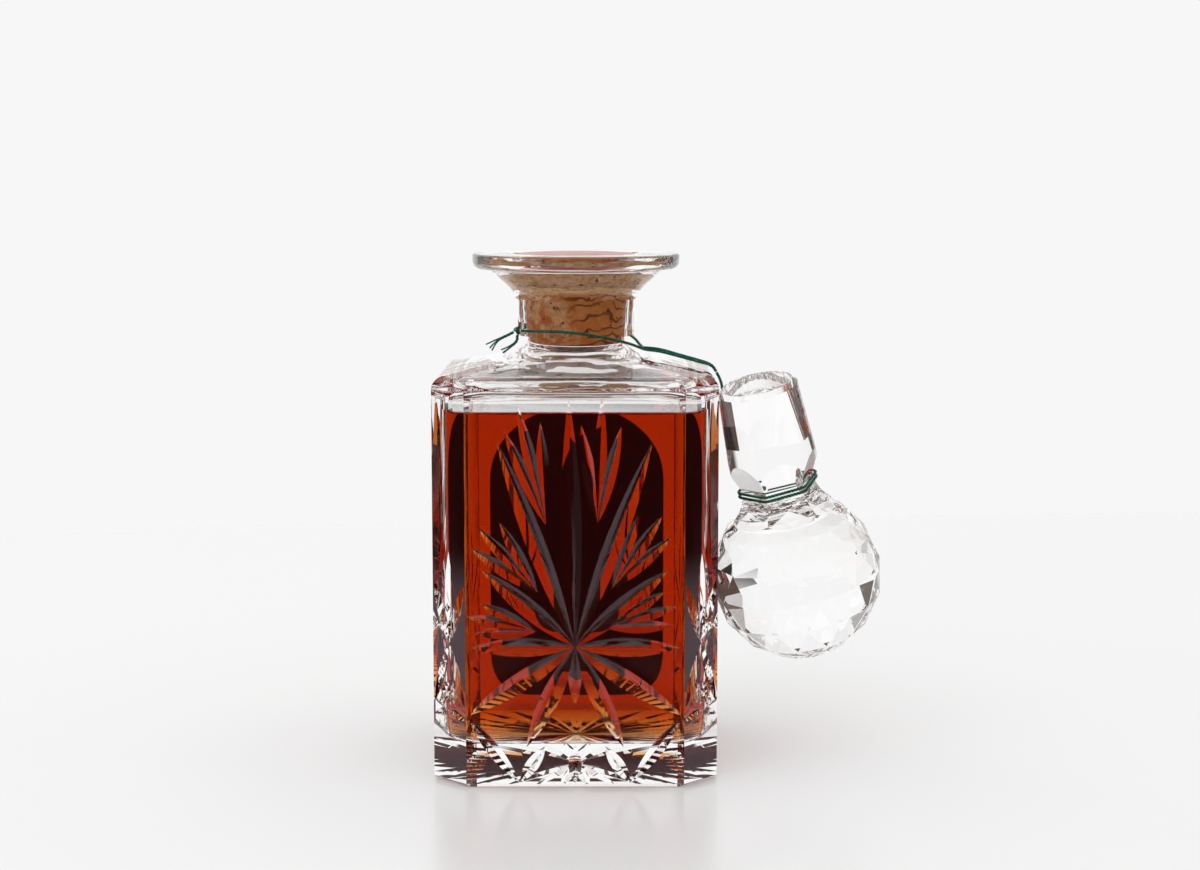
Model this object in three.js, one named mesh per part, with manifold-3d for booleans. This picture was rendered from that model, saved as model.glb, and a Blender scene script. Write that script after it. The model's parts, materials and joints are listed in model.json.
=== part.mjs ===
// A square cut-glass whisky decanter, sealed with a cork and wax, with its ball stopper
// hanging beside it on a tied string. Millimetres, +Z up, the origin on the axis at the base.
import * as THREE from 'three';
import { ConvexGeometry } from 'three/addons/geometries/ConvexGeometry.js';
import { mergeVertices, toCreasedNormals } from 'three/addons/utils/BufferGeometryUtils.js';
import Module from 'manifold-3d';

const wasm = await Module();
wasm.setup();

// Driving dimensions of the glass body
const bodyWidth = 95;          // across two opposite faces
const cornerInset = 11.4;      // taken off each corner, measured along a face
const wallTop = 131.4;         // where the upright faces end and the shoulder turns in
const shoulderRadius = 4.2;    // rounding between a face and the shoulder
const shoulderRise = 4.5;      // from the rounding up to the foot of the neck
const footBevel = 1.2;         // arris round the base
const wall = 6.5;              // side wall of the glass
const base = 13.3;             // thick bottom of the glass
const cavityCorner = 8.6;      // radius of the upright corners inside
const cavityFillet = 4;        // radius round the floor inside
const shoulderWall = 3.6;      // glass over the headspace, at its edge
const ceilingRadius = 5;       // rounding between the sides and the ceiling inside
const ceilingRise = 5;         // from that rounding up to the throat
const throatRadius = 18;       // where the ceiling turns up into the bore

// Driving dimensions of the neck and lip
const neckFootRadius = 26;     // where the neck grows out of the shoulder
const coveRadius = 16.6;       // the hollow cove under the collar, where it is narrowest
const coveHeight = 7.1;
const coveShape = [[0.62, 0.13], [0.28, 0.32], [0.07, 0.56], [0, 0.9]];    // shares of its reach and height
const collarSides = 8;
const collarFlat = 19.9;       // from the axis to each of the collar's flats
const collarHeight = 12;
const flareHeight = 10.4;      // from the collar up to the underside of the lip
const flareShape = [[0.08, 0.25], [0.31, 0.52], [0.59, 0.77], [0.77, 0.96]];
const lipRadius = 35.6;
const lipThickness = 5.4;
const lipRound = 2.6;          // rounding under the lip's edge
const rimArris = 0.8;          // taken off the rim's sharp edge
const mouthRadius = 22.4;      // of the mouth at the rim
const mouthDepth = 7.5;        // from the rim down to the bore
const boreTopRadius = 15.2;
const boreBottomRadius = 13.5;
const boreLength = 24.5;       // of the ground bore that holds the cork

// What the decanter holds
const clearance = 0.3;         // between pieces that touch
const fillLevel = 124.8;       // of the whisky, above the base
const corkChamfer = 0.8;
const waxDepth = 2.2;          // from the rim down to the cork's head
const waxDome = 0.6;           // how far the wax stands over the rim

// The paper label on the back face
const labelHalfWidth = 31.3;
const labelBottom = 10;
const labelSpring = 93;        // where its straight sides turn into the arch
const labelTop = 120;
const labelCorner = 17;
const labelThickness = 0.25;

// The cutting: grooves ground by a wheel with a V edge
const grooveFlank = 37;        // degrees that each flank leans from the face
const starHeight = 47.5;       // of the star's centre above the base
const rayWidth = 6.4;
const fanRayWidth = 4.4;
const starRays = [             // degrees from upright and length, on both sides of the face
  [20.5, 72.6], [50, 40], [90.5, 34.5], [123.3, 42], [154.5, 37.5],
];
const upperRayLength = 83;
const lowerRayLength = 19.6;
const fans = [                 // one small fan in each gap between the star's upper rays, as cut by hand
  { from: -13.1, out: 41.6, lean: -13.3, spread: 10.3, long: 41, short: 34 },
  { from: 10.4, out: 41.7, lean: 2, spread: 11.5, long: 42, short: 33 },
  { from: -34, out: 21.8, lean: -42, spread: 14, long: 29.5, short: 26.5 },
  { from: 32.2, out: 23.1, lean: 34, spread: 14.5, long: 29.2, short: 26 },
  { from: -68.7, out: 13.8, lean: -77, spread: 14.6, long: 23.6, short: 20.5 },
  { from: 57.9, out: 12, lean: 73, spread: 15, long: 24.4, short: 22.7 },
];
const zigzagHigh = 23.5;       // heights and places of the grooves round the foot
const zigzagMiddle = 14;
const zigzagLow = 1.6;
const zigzagFoot = 18.4;
const zigzagInner = 9.8;
const cornerFanLength = 31;    // upright groove above the crossing on each cut corner
const cornerFanReach = 21;     // height of the two beside it
const cornerCrossDrop = 21;    // the crossing's lower ends below its middle
const hatchPitch = 2.3;
const hatchWidth = 1.7;
const hatchLean = 35;
const hatchMiddle = 31;        // height of the cross-hatched patch
const hatchHalfHeight = 6.5;
const notchWidth = 2.6;        // notches over the shoulder at the eight upright edges
const notchLength = 15;
const notchLean = 20;          // degrees that each follows the shoulder down
const baseStarRays = 24;
const baseStarInner = 3;       // flat left at the middle of the base
const baseStarOuter = 41;
const baseStarWidth = 5;

// The stopper, in its own frame: the ball's centre at the origin, the peg up +Z
const ballRadius = 29.6;       // over the points between the facets
const facetsRound = 18;        // in each row
const facetRow = 17;           // degrees between rows
const facetPoleRow = 4;        // rows above and below the middle one
const stopperNeckSides = 6;
const stopperNeckFlat = 11.2;  // from the axis to each of the neck's flats, at their narrowest
const stopperNeckHeight = 34;
const stopperShoulder = 18.6;  // radius of the neck where it grows out of the ball
const neckTurn = 38;           // degrees from the +X side round to the neck's first flat
const fluteRadius = 12.5;      // of the hollow flutes that shape the neck
const fluteDepth = 3.8;        // that they draw in from the ball to the narrowest place
const pegBottom = 45;
const pegTop = 71;
const pegBottomRadius = 15.3;
const pegTopRadius = 13.8;
const pegChamfer = 1.6;
const stopperTilt = 12.5;      // degrees that its peg leans towards the body as it hangs
const stopperForward = 11;     // and towards the front
const ballHeight = 63.2;       // of the ball's centre above the base

// The string
const cordDiameter = 0.9;
const doubledDiameter = 1.7;   // of the two strands laid together
const cordSides = 8;
const windingTurns = 2;
const windingPitch = 1.5;
const windingSteps = 24;       // in each turn
const windingStart = 75;       // degrees round from the neck's first flat
const knotSize = 2.6;

const glass = { color: 0xf4f6f4, roughness: 0.03, metalness: 0, transparent: true, opacity: 0.35 };
const materials = {
  glass: new THREE.MeshStandardMaterial(glass),
  whisky: new THREE.MeshStandardMaterial({ color: 0xa33a0c, roughness: 0.05, metalness: 0 }),
  cork: new THREE.MeshStandardMaterial({ color: 0xb07a48, roughness: 0.85, metalness: 0 }),
  wax: new THREE.MeshStandardMaterial({ color: 0xc07070, roughness: 0.45, metalness: 0 }),
  paper: new THREE.MeshStandardMaterial({ color: 0xe6dfcd, roughness: 0.9, metalness: 0 }),
  string: new THREE.MeshStandardMaterial({ color: 0x0d4f3a, roughness: 0.8, metalness: 0 }),
};

const { degToRad, lerp } = THREE.MathUtils;
const creaseAngle = 20;        // faces that meet at more than this are shaded as a sharp edge

// Closed solids and their booleans
function toSolid(geometry) {
  const bare = new THREE.BufferGeometry();
  bare.setAttribute('position', geometry.getAttribute('position'));
  if (geometry.index) bare.setIndex(geometry.index);
  const merged = mergeVertices(bare, 1e-4);
  return new wasm.Manifold(new wasm.Mesh({
    numProp: 3,
    vertProperties: new Float32Array(merged.getAttribute('position').array),
    triVerts: new Uint32Array(merged.index.array),
  }));
}

function toGeometry(solid) {
  const mesh = solid.getMesh();
  const geometry = new THREE.BufferGeometry();
  geometry.setAttribute('position', new THREE.BufferAttribute(mesh.vertProperties, 3));
  geometry.setIndex(new THREE.BufferAttribute(mesh.triVerts, 1));
  return toCreasedNormals(geometry, degToRad(creaseAngle));
}

const joined = (solids) => solids.reduce((all, next) => all.add(next));

// One horizontal outline: a square with cut or round corners, drawn towards a circle by `mix`
const faceSteps = 8;
const cornerSteps = 4;
function outline(z, half, corner, { round = false, mix = 0, radius = 0 } = {}) {
  const points = [];
  for (let side = 0; side < 4; side++) {
    const flat = half - corner;
    const local = [];
    for (let i = 0; i < faceSteps; i++) local.push([half, lerp(-flat, flat, i / faceSteps)]);
    for (let i = 0; i < cornerSteps; i++) {
      const t = i / cornerSteps;
      const angle = t * Math.PI / 2;
      if (round) local.push([flat + corner * Math.cos(angle), flat + corner * Math.sin(angle)]);
      else local.push([half - corner * t, flat + corner * t]);
    }
    for (const [x, y] of local) {
      const point = new THREE.Vector2(x, y).rotateAround(new THREE.Vector2(), side * Math.PI / 2);
      points.push(point.setLength(lerp(point.length(), radius, mix)));
    }
  }
  return points.map((p) => new THREE.Vector3(p.x, p.y, z));
}

// A closed solid through a stack of outlines that all have the same number of points
function loft(rings) {
  const count = rings[0].length;
  const positions = rings.flat();
  const index = [];
  for (let r = 0; r + 1 < rings.length; r++) {
    for (let i = 0; i < count; i++) {
      const a = r * count + i;
      const b = r * count + (i + 1) % count;
      index.push(a, b, b + count, a, b + count, a + count);
    }
  }
  for (const [ring, up] of [[0, false], [rings.length - 1, true]]) {
    const middle = positions.length;
    positions.push(rings[ring].reduce((sum, p) => sum.add(p), new THREE.Vector3()).divideScalar(count));
    for (let i = 0; i < count; i++) {
      const a = ring * count + i;
      const b = ring * count + (i + 1) % count;
      index.push(...(up ? [middle, a, b] : [middle, b, a]));
    }
  }
  const geometry = new THREE.BufferGeometry().setFromPoints(positions);
  geometry.setIndex(index);
  return geometry;
}

// A revolved solid from [radius, height] pairs that start and end on the axis, bottom to top
const roundSteps = 48;
function revolve(profile, steps = roundSteps) {
  const points = profile.map(([r, z]) => new THREE.Vector2(r, z));
  return new THREE.LatheGeometry(points, steps).rotateX(Math.PI / 2);
}

function arc(cx, cz, radius, startDegrees, endDegrees, steps) {
  const points = [];
  for (let i = 0; i <= steps; i++) {
    const angle = degToRad(lerp(startDegrees, endDegrees, i / steps));
    points.push([cx + radius * Math.cos(angle), cz + radius * Math.sin(angle)]);
  }
  return points;
}

// Heights and widths that follow from the driving ones
const bodyHalf = bodyWidth / 2;
const shoulderEdge = wallTop + shoulderRadius;
const neckFoot = shoulderEdge + shoulderRise;
const collarBottom = neckFoot + coveHeight;
const collarTop = collarBottom + collarHeight;
const lipUnder = collarTop + flareHeight;
const rimTop = lipUnder + lipThickness;
const boreTop = rimTop - mouthDepth;
const corkBottom = boreTop - boreLength;
const cavityHalf = bodyHalf - wall;
const ceilingEdge = shoulderEdge - shoulderWall;
const throatBottom = ceilingEdge + ceilingRise;

// The outside of the body, from the base to the foot of the neck
function bodyOutside() {
  const rings = [
    outline(0, bodyHalf - footBevel, cornerInset),
    outline(footBevel, bodyHalf, cornerInset),
    outline(wallTop, bodyHalf, cornerInset),
  ];
  const steps = 4;
  for (let i = 1; i <= steps; i++) {
    const angle = i / steps * Math.PI / 2;
    const inset = shoulderRadius * (1 - Math.cos(angle));
    rings.push(outline(wallTop + shoulderRadius * Math.sin(angle), bodyHalf - inset, cornerInset));
  }
  for (const mix of [0.35, 0.7, 1]) {
    const shape = { mix, radius: neckFootRadius };
    rings.push(outline(shoulderEdge + shoulderRise * mix, bodyHalf - shoulderRadius, cornerInset, shape));
  }
  return toSolid(loft(rings));
}

// The neck with its cove, collar, flare and lip
function neckOutside() {
  const sunk = 1;
  const foot = neckFootRadius - 0.4;
  const collarCorner = collarFlat / Math.cos(Math.PI / collarSides);
  const collarRound = lerp(collarFlat, collarCorner, 0.6);
  const flareRadius = lipRadius - lipRound - 1;
  const profile = [
    [0, neckFoot - sunk],
    [foot, neckFoot - sunk],
    [foot, neckFoot],
    ...coveShape.map(([out, up]) => [lerp(coveRadius, foot, out), neckFoot + up * coveHeight]),
    [collarRound, collarBottom],
    [collarRound, collarTop],
    ...flareShape.map(([out, up]) => [lerp(collarRound, flareRadius, out), collarTop + up * flareHeight]),
    ...arc(lipRadius - lipRound, lipUnder + lipRound + 0.2, lipRound, -110, 0, 4),
    [lipRadius, rimTop - rimArris],
    [lipRadius - rimArris, rimTop],
    [0, rimTop],
  ];
  const blank = toSolid(revolve(profile));
  const flats = [];
  const cutDepth = 6;
  const cutHeight = collarHeight + 0.6;
  for (let i = 0; i < collarSides; i++) {
    const cutter = new THREE.BoxGeometry(cutDepth, collarFlat * 1.2, cutHeight);
    cutter.translate(collarFlat + cutDepth / 2, 0, collarBottom + cutHeight / 2 - 0.2);
    flats.push(toSolid(cutter.rotateZ(i / collarSides * 2 * Math.PI)));
  }
  return blank.subtract(joined(flats));
}

// The mouth, from the top of the bore to the rim
const mouthProfile = [
  [boreTopRadius, boreTop],
  [boreTopRadius + 2, boreTop + 1.3],
  [mouthRadius - 1.5, rimTop - waxDepth],
  [mouthRadius, rimTop],
];

// The hollow inside: the square chamber, then the bore and the mouth
function cavityRings(inset, top) {
  const half = cavityHalf - inset;
  const corner = cavityCorner - inset;
  const floor = base + inset;
  const rings = [];
  for (const angle of [90, 60, 30, 0]) {
    const turn = degToRad(angle);
    const drawnIn = cavityFillet * (1 - Math.cos(turn));
    const z = floor + cavityFillet * (1 - Math.sin(turn));
    rings.push(outline(z, half - drawnIn, corner, { round: true }));
  }
  rings.push(outline(top, half, corner, { round: true }));
  return rings;
}

function hollow() {
  const rings = cavityRings(0, ceilingEdge - ceilingRadius);
  const round = true;
  for (const degrees of [30, 60, 90]) {
    const angle = degToRad(degrees);
    const half = cavityHalf - ceilingRadius * (1 - Math.cos(angle));
    const z = ceilingEdge - ceilingRadius * (1 - Math.sin(angle));
    rings.push(outline(z, half, cavityCorner, { round }));
  }
  for (const mix of [0.5, 1]) {
    const shape = { round, mix, radius: throatRadius };
    rings.push(outline(ceilingEdge + ceilingRise * mix, cavityHalf - ceilingRadius, cavityCorner, shape));
  }
  const throat = { round, mix: 1, radius: boreBottomRadius + 0.5 };
  rings.push(outline(throatBottom + 2.4, cavityHalf - ceilingRadius, cavityCorner, throat));
  const chamber = toSolid(loft(rings));
  const bore = toSolid(revolve([
    [0, throatBottom],
    [boreBottomRadius, throatBottom],
    [boreBottomRadius, corkBottom],
    ...mouthProfile,
    [mouthRadius, rimTop + 1],
    [0, rimTop + 1],
  ]));
  return chamber.add(bore);
}

// A flat side of the body: its middle at the base line, its outward normal, sideways to its right
function facePlane(turnDegrees, distance) {
  const turn = degToRad(turnDegrees);
  const normal = new THREE.Vector3(Math.sin(turn), -Math.cos(turn), 0);
  const right = new THREE.Vector3(Math.cos(turn), Math.sin(turn), 0);
  const up = new THREE.Vector3(0, 0, 1);
  return { origin: normal.clone().multiplyScalar(distance), normal, right, up };
}

// The wheel's cut from one point of a face to another: a leaf with a V section, deepest in the middle
const flankSlope = Math.tan(degToRad(grooveFlank));
const grooveStations = [0.15, 0.5, 0.85];
function groove(face, [fromX, fromY], [toX, toY], width) {
  const over = 0.35;
  const depth = width / 2 * flankSlope;
  const start = new THREE.Vector2(fromX, fromY);
  const run = new THREE.Vector2(toX, toY).sub(start);
  const side = new THREE.Vector2(-run.y, run.x).normalize();
  const place = (t, across, height) => {
    const p = start.clone().addScaledVector(run, t).addScaledVector(side, across);
    return face.origin.clone().addScaledVector(face.right, p.x).addScaledVector(face.up, p.y)
      .addScaledVector(face.normal, height);
  };
  const lead = over / (over + depth) * grooveStations[0];
  const points = [place(-lead, 0, over), place(1 + lead, 0, over)];
  for (const t of grooveStations) {
    const d = depth * 4 * t * (1 - t);
    const half = (d + over) / flankSlope;
    points.push(place(t, 0, -d), place(t, half, over), place(t, -half, over));
  }
  return toSolid(hullOfLeaf(points));
}

// Its surface: the first two points are its ends, and each three after them one section
function hullOfLeaf(points) {
  const last = grooveStations.length - 1;
  const at = (station, corner) => 2 + station * 3 + corner;
  const index = [];
  for (let corner = 0; corner < 3; corner++) {
    const next = (corner + 1) % 3;
    index.push(0, at(0, next), at(0, corner));
    index.push(1, at(last, corner), at(last, next));
    for (let s = 0; s < last; s++) {
      index.push(at(s, corner), at(s + 1, next), at(s + 1, corner));
      index.push(at(s, corner), at(s, next), at(s + 1, next));
    }
  }
  const geometry = new THREE.BufferGeometry().setFromPoints(points);
  geometry.setIndex(index);
  return geometry;
}

const polar = ([x, y], degrees, length) => {
  const angle = degToRad(degrees);
  return [x + length * Math.sin(angle), y + length * Math.cos(angle)];
};

// The fan-cut star and the zigzag round the foot, on one wide face
function faceCuts(face) {
  const centre = [0, starHeight];
  const cuts = [
    groove(face, centre, polar(centre, 0, upperRayLength), rayWidth * 0.9),
    groove(face, centre, polar(centre, 180, lowerRayLength), fanRayWidth),
    groove(face, [0, zigzagMiddle], [0, zigzagLow], fanRayWidth),
  ];
  for (const side of [-1, 1]) {
    for (const [degrees, length] of starRays) {
      cuts.push(groove(face, centre, polar(centre, side * degrees, length), rayWidth));
    }
    const edge = side * (bodyHalf - cornerInset - 0.8);
    cuts.push(groove(face, [edge, zigzagHigh], [side * zigzagFoot, zigzagLow], fanRayWidth));
    cuts.push(groove(face, [side * zigzagInner, zigzagMiddle], [side * zigzagFoot, zigzagLow], fanRayWidth));
  }
  for (const fan of fans) {
    const root = polar(centre, fan.from, fan.out);
    for (const step of [-1, 0, 1]) {
      const length = step === 0 ? fan.long : fan.short;
      cuts.push(groove(face, root, polar(root, fan.lean + step * fan.spread, length), fanRayWidth));
    }
  }
  return cuts;
}

// The crossed grooves and the hatched patch on one cut corner
function cornerCuts(face) {
  const halfWidth = cornerInset / Math.SQRT2;
  const centre = [0, starHeight];
  const cuts = [groove(face, centre, [0, starHeight + cornerFanLength], fanRayWidth * 0.9)];
  for (const side of [-1, 1]) {
    const edge = side * (halfWidth - 0.5);
    cuts.push(groove(face, centre, [edge, starHeight + cornerFanReach], fanRayWidth * 0.9));
    cuts.push(groove(face, centre, [edge, starHeight - cornerCrossDrop], fanRayWidth * 0.8));
    cuts.push(groove(face, [edge, zigzagHigh - 1], [0, zigzagHigh + 1.5], fanRayWidth * 0.6));
    for (const step of [-1, 0, 1]) {
      const middle = [step * hatchPitch, hatchMiddle];
      const lean = side * hatchLean;
      const low = polar(middle, lean + 180, hatchHalfHeight - Math.abs(step));
      cuts.push(groove(face, low, polar(middle, lean, hatchHalfHeight - Math.abs(step)), hatchWidth));
    }
  }
  return cuts;
}

// Notches over the shoulder, one at each upright edge, running in towards the neck
function shoulderNotches() {
  const cuts = [];
  const flat = bodyHalf - cornerInset;
  for (let quarter = 0; quarter < 4; quarter++) {
    for (const [x, y] of [[bodyHalf, flat], [flat, bodyHalf]]) {
      const corner = new THREE.Vector2(x, y);
      corner.rotateAround(new THREE.Vector2(), quarter * Math.PI / 2);
      const heading = Math.atan2(corner.y, corner.x);
      const out = new THREE.Vector3(Math.cos(heading), Math.sin(heading), 0);
      const lean = degToRad(notchLean);
      const face = {
        origin: out.clone().multiplyScalar(corner.length() - shoulderRadius * 0.8),
        normal: out.clone().multiplyScalar(Math.sin(lean)).setZ(Math.cos(lean)),
        right: new THREE.Vector3(-out.y, out.x, 0),
        up: out.clone().multiplyScalar(-Math.cos(lean)).setZ(Math.sin(lean)),
      };
      face.origin.z = shoulderEdge - 0.6;
      cuts.push(groove(face, [0, -notchLength * 0.4], [0, notchLength * 0.6], notchWidth));
    }
  }
  return cuts;
}

// The star under the base
function baseCuts() {
  const face = {
    origin: new THREE.Vector3(),
    normal: new THREE.Vector3(0, 0, -1),
    right: new THREE.Vector3(1, 0, 0),
    up: new THREE.Vector3(0, -1, 0),
  };
  const cuts = [];
  for (let i = 0; i < baseStarRays; i++) {
    const degrees = (i + 0.5) * 360 / baseStarRays;
    const inner = polar([0, 0], degrees, baseStarInner);
    cuts.push(groove(face, inner, polar([0, 0], degrees, baseStarOuter), baseStarWidth));
  }
  return cuts;
}

function glassBody() {
  const cuts = [...shoulderNotches(), ...baseCuts()];
  for (const turn of [0, 90, 270]) cuts.push(...faceCuts(facePlane(turn, bodyHalf)));
  const cornerDistance = (bodyWidth - cornerInset) / Math.SQRT2;
  for (const turn of [45, 135, 225, 315]) cuts.push(...cornerCuts(facePlane(turn, cornerDistance)));
  return bodyOutside().add(neckOutside()).subtract(joined(cuts)).subtract(hollow());
}

// The whisky fills the hollow to its level, a clearance inside the glass
function whiskyFill() {
  return loft(cavityRings(clearance, fillLevel));
}

// The mouth's wall, drawn in by enough to leave the clearance on its slope
const mouthInside = mouthProfile.map(([r, z]) => [r - 1.4 * clearance, z]);

// The cork is pressed in until its head fills the mouth up to the wax
function corkGeometry() {
  const bottom = boreBottomRadius - clearance;
  const headTop = rimTop - waxDepth - clearance / 2;
  const [headRadius] = mouthInside[2];
  return revolve([
    [0, corkBottom], [bottom - corkChamfer, corkBottom], [bottom, corkBottom + corkChamfer],
    ...mouthInside.slice(0, 2),
    [headRadius - clearance, headTop - clearance], [headRadius - clearance, headTop], [0, headTop],
  ]);
}

function waxGeometry() {
  const low = rimTop - waxDepth + clearance / 2;
  return revolve([
    [0, low], [mouthInside[2][0], low], mouthInside[3],
    [mouthRadius * 0.7, rimTop + waxDome * 0.6], [0, rimTop + waxDome],
  ]);
}

// The label: straight sides, a round arch above and round corners below
function labelGeometry() {
  const shape = new THREE.Shape();
  shape.moveTo(labelHalfWidth - labelCorner, labelBottom);
  shape.quadraticCurveTo(labelHalfWidth, labelBottom, labelHalfWidth, labelBottom + labelCorner);
  shape.lineTo(labelHalfWidth, labelSpring);
  shape.absellipse(0, labelSpring, labelHalfWidth, labelTop - labelSpring, 0, Math.PI, false);
  shape.lineTo(-labelHalfWidth, labelBottom + labelCorner);
  shape.quadraticCurveTo(-labelHalfWidth, labelBottom, labelCorner - labelHalfWidth, labelBottom);
  const options = { depth: labelThickness, bevelEnabled: false, curveSegments: 12 };
  const geometry = new THREE.ExtrudeGeometry(shape, options);
  geometry.rotateX(Math.PI / 2).rotateZ(Math.PI);
  return geometry.translate(0, bodyHalf + clearance, 0);
}

// The faceted ball: rows of points round a sphere, each row turned half a facet from the last
function ballGeometry() {
  const points = [];
  for (let row = -facetPoleRow; row <= facetPoleRow; row++) {
    const latitude = degToRad(row * facetRow);
    const count = Math.abs(row) === facetPoleRow ? facetsRound / 2 : facetsRound;
    for (let i = 0; i < count; i++) {
      const around = (i + (row % 2 === 0 ? 0 : 0.5)) / count * 2 * Math.PI;
      const ring = ballRadius * Math.cos(latitude);
      const z = ballRadius * Math.sin(latitude);
      points.push(new THREE.Vector3(ring * Math.cos(around), ring * Math.sin(around), z));
    }
  }
  return new ConvexGeometry(points);
}

// The stopper in one piece of glass: ball, six-sided neck cut by hollow flutes, ground peg
function stopperSolid() {
  const ball = toSolid(ballGeometry());
  const sunk = ballRadius - Math.sqrt(ballRadius ** 2 - stopperShoulder ** 2) + 5;
  const stem = toSolid(revolve([
    [0, ballRadius - sunk], [stopperShoulder, ballRadius - sunk],
    [lerp(stopperShoulder, pegBottomRadius, 0.4), lerp(ballRadius - sunk, stopperNeckHeight, 0.45)],
    [pegBottomRadius - 0.3, stopperNeckHeight], [pegBottomRadius, pegBottom - 2],
    [pegBottomRadius, pegBottom], [pegTopRadius, pegTop - pegChamfer],
    [pegTopRadius - pegChamfer, pegTop], [0, pegTop],
  ]));
  const flutes = [];
  const straight = 1.4;        // stretch of each flat above the flute
  const above = pegBottom + 1.8;
  const centre = stopperNeckFlat + fluteRadius;
  const angle = THREE.MathUtils.radToDeg(Math.acos(1 - fluteDepth / fluteRadius));
  for (let i = 0; i < stopperNeckSides; i++) {
    const lower = arc(centre, stopperNeckHeight, fluteRadius, 180 + angle, 180, 4);
    const shape = new THREE.Shape(lower.map(([r, z]) => new THREE.Vector2(r, z)));
    shape.lineTo(stopperNeckFlat, stopperNeckHeight + straight);
    shape.lineTo(pegBottomRadius + 0.4, above);
    shape.lineTo(centre, above);
    shape.lineTo(centre, stopperNeckHeight - fluteRadius * Math.sin(degToRad(angle)) - 2);
    const width = 2.4 * pegBottomRadius;
    const cutter = new THREE.ExtrudeGeometry(shape, { depth: width, bevelEnabled: false });
    cutter.translate(0, 0, -width / 2).rotateX(Math.PI / 2);
    flutes.push(toSolid(cutter.rotateZ(i / stopperNeckSides * 2 * Math.PI + degToRad(neckTurn))));
  }
  return ball.add(stem).subtract(joined(flutes));
}

// The hanging stopper: it leans on its string until the ball meets the side of the body
const stopperShape = toGeometry(stopperSolid());
const tilted = new THREE.Matrix4().makeRotationY(-degToRad(stopperTilt));
const lean = new THREE.Matrix4().makeRotationX(degToRad(stopperForward)).multiply(tilted);
const leaning = stopperShape.clone().applyMatrix4(lean);
leaning.computeBoundingBox();
const ballCentre = new THREE.Vector3(bodyHalf + clearance - leaning.boundingBox.min.x, 0, ballHeight);
const stopperTurn = lean.clone().setPosition(ballCentre);

// The string: tubes along points chosen by hand
const curveOf = (points, type = 'centripetal') =>
  new THREE.CatmullRomCurve3(points.map((p) => new THREE.Vector3(...p)), false, type);

function tube(curve, diameter, steps) {
  const section = new THREE.Shape();
  for (let i = 0; i < cordSides; i++) {
    const angle = i / cordSides * 2 * Math.PI;
    const [x, y] = [diameter / 2 * Math.cos(angle), diameter / 2 * Math.sin(angle)];
    if (i === 0) section.moveTo(x, y);
    else section.lineTo(x, y);
  }
  section.closePath();
  return new THREE.ExtrudeGeometry(section, { steps, bevelEnabled: false, extrudePath: curve });
}

const frontStrand = [
  [-18.5, -12.1, 149.2], [-14.9, -15.2, 149.3], [-9.2, -20.2, 149.5], [-4.6, -21.1, 149.4],
  [1.5, -21.1, 148.8], [6.4, -21.1, 148], [9.8, -20.3, 147.3], [14.3, -17.4, 146.1],
  [18.8, -13.2, 144.6], [22, -10.4, 143.2], [23.8, -9.1, 142.5],
];
const backStrand = [
  [-20.1, -9.55, 149], [-21, -3.6, 148.8], [-20.9, 3, 148.7], [-20.2, 9.2, 148.6], [-15, 15.2, 148.5],
  [-9.2, 20.2, 148.4], [0, 21.1, 148.4], [9.2, 20.2, 148.4], [15.2, 15.4, 148.2], [19.4, 9.8, 147],
  [21.4, 4, 146], [22.3, -2, 145], [22.9, -6.2, 144.5], [23.7, -8.2, 143.9],
];
const spanPath = [
  [24.25, -8.7, 143.1], [28.8, -6.6, 142], [35.7, -4.4, 140], [42.7, -2, 137.9], [45.6, -0.8, 136.9],
  [47.3, -0.2, 135.8], [48.4, 0, 134.2],
];
const dropPath = [
  [48.6, 0.05, 133.75], [49.7, 0.9, 131.6], [50.6, 3, 128.7], [51, 5.3, 125], [51.4, 6.8, 120.8],
  [52.3, 7.5, 116], [53.6, 7.9, 110.8], [55.2, 8.3, 106.4], [57.3, 8.4, 103.2], [60.1, 7.8, 100.9],
  [63.4, 6.3, 99.6],
];
const knotPlace = [-19.7, -11.1, 149.1];
const longTail = [
  [-21.15, -11.6, 148.65], [-22.6, -12.1, 147.9], [-25, -12.8, 146.8], [-27.1, -13.2, 145.6],
  [-29.4, -13.5, 143.5],
];
const shortTail = [
  [-19.85, -11.65, 147.6], [-20.1, -12.3, 145.7], [-22.2, -13, 143.8], [-24.9, -13.6, 142.1],
];

// The winding lies on the six flats of the stopper's neck and rounds its corners
function windingPoints() {
  const seat = stopperNeckFlat + clearance + cordDiameter / 2 + 0.4;
  const half = 180 / stopperNeckSides;
  const corner = seat / Math.cos(degToRad(half)) - 0.4;
  const start = stopperNeckHeight - windingTurns * windingPitch / 2;
  const points = [];
  for (let i = 0; i <= windingTurns * windingSteps; i++) {
    const turn = windingStart + i / windingSteps * 360;
    const fromFlat = THREE.MathUtils.euclideanModulo(turn + half, 2 * half) - half;
    const radius = Math.min(seat / Math.cos(degToRad(fromFlat)), corner);
    const angle = degToRad(turn + neckTurn);
    const z = start + i / windingSteps * windingPitch;
    points.push(new THREE.Vector3(radius * Math.cos(angle), radius * Math.sin(angle), z));
  }
  return points.map((p) => p.applyMatrix4(stopperTurn));
}

function windingGeometry() {
  const points = windingPoints();
  const steps = points.length - 1;
  let least = Infinity;
  for (let i = 0; i < points.length; i++) {
    for (let j = i + windingSteps / 2; j < points.length; j++) {
      least = Math.min(least, points[i].distanceTo(points[j]) - cordDiameter);
    }
  }
  console.log('least gap of the winding to itself, mm', least.toFixed(2));
  return tube(new THREE.CatmullRomCurve3(points), cordDiameter, steps);
}

function knotGeometry() {
  const knot = new THREE.SphereGeometry(knotSize / 2, 12, 8);
  return knot.translate(...knotPlace);
}

// The finished decanter
const group = new THREE.Group();
function add(name, geometry, material) {
  const mesh = new THREE.Mesh(geometry, material);
  mesh.name = name;
  group.add(mesh);
  return mesh;
}

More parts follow.
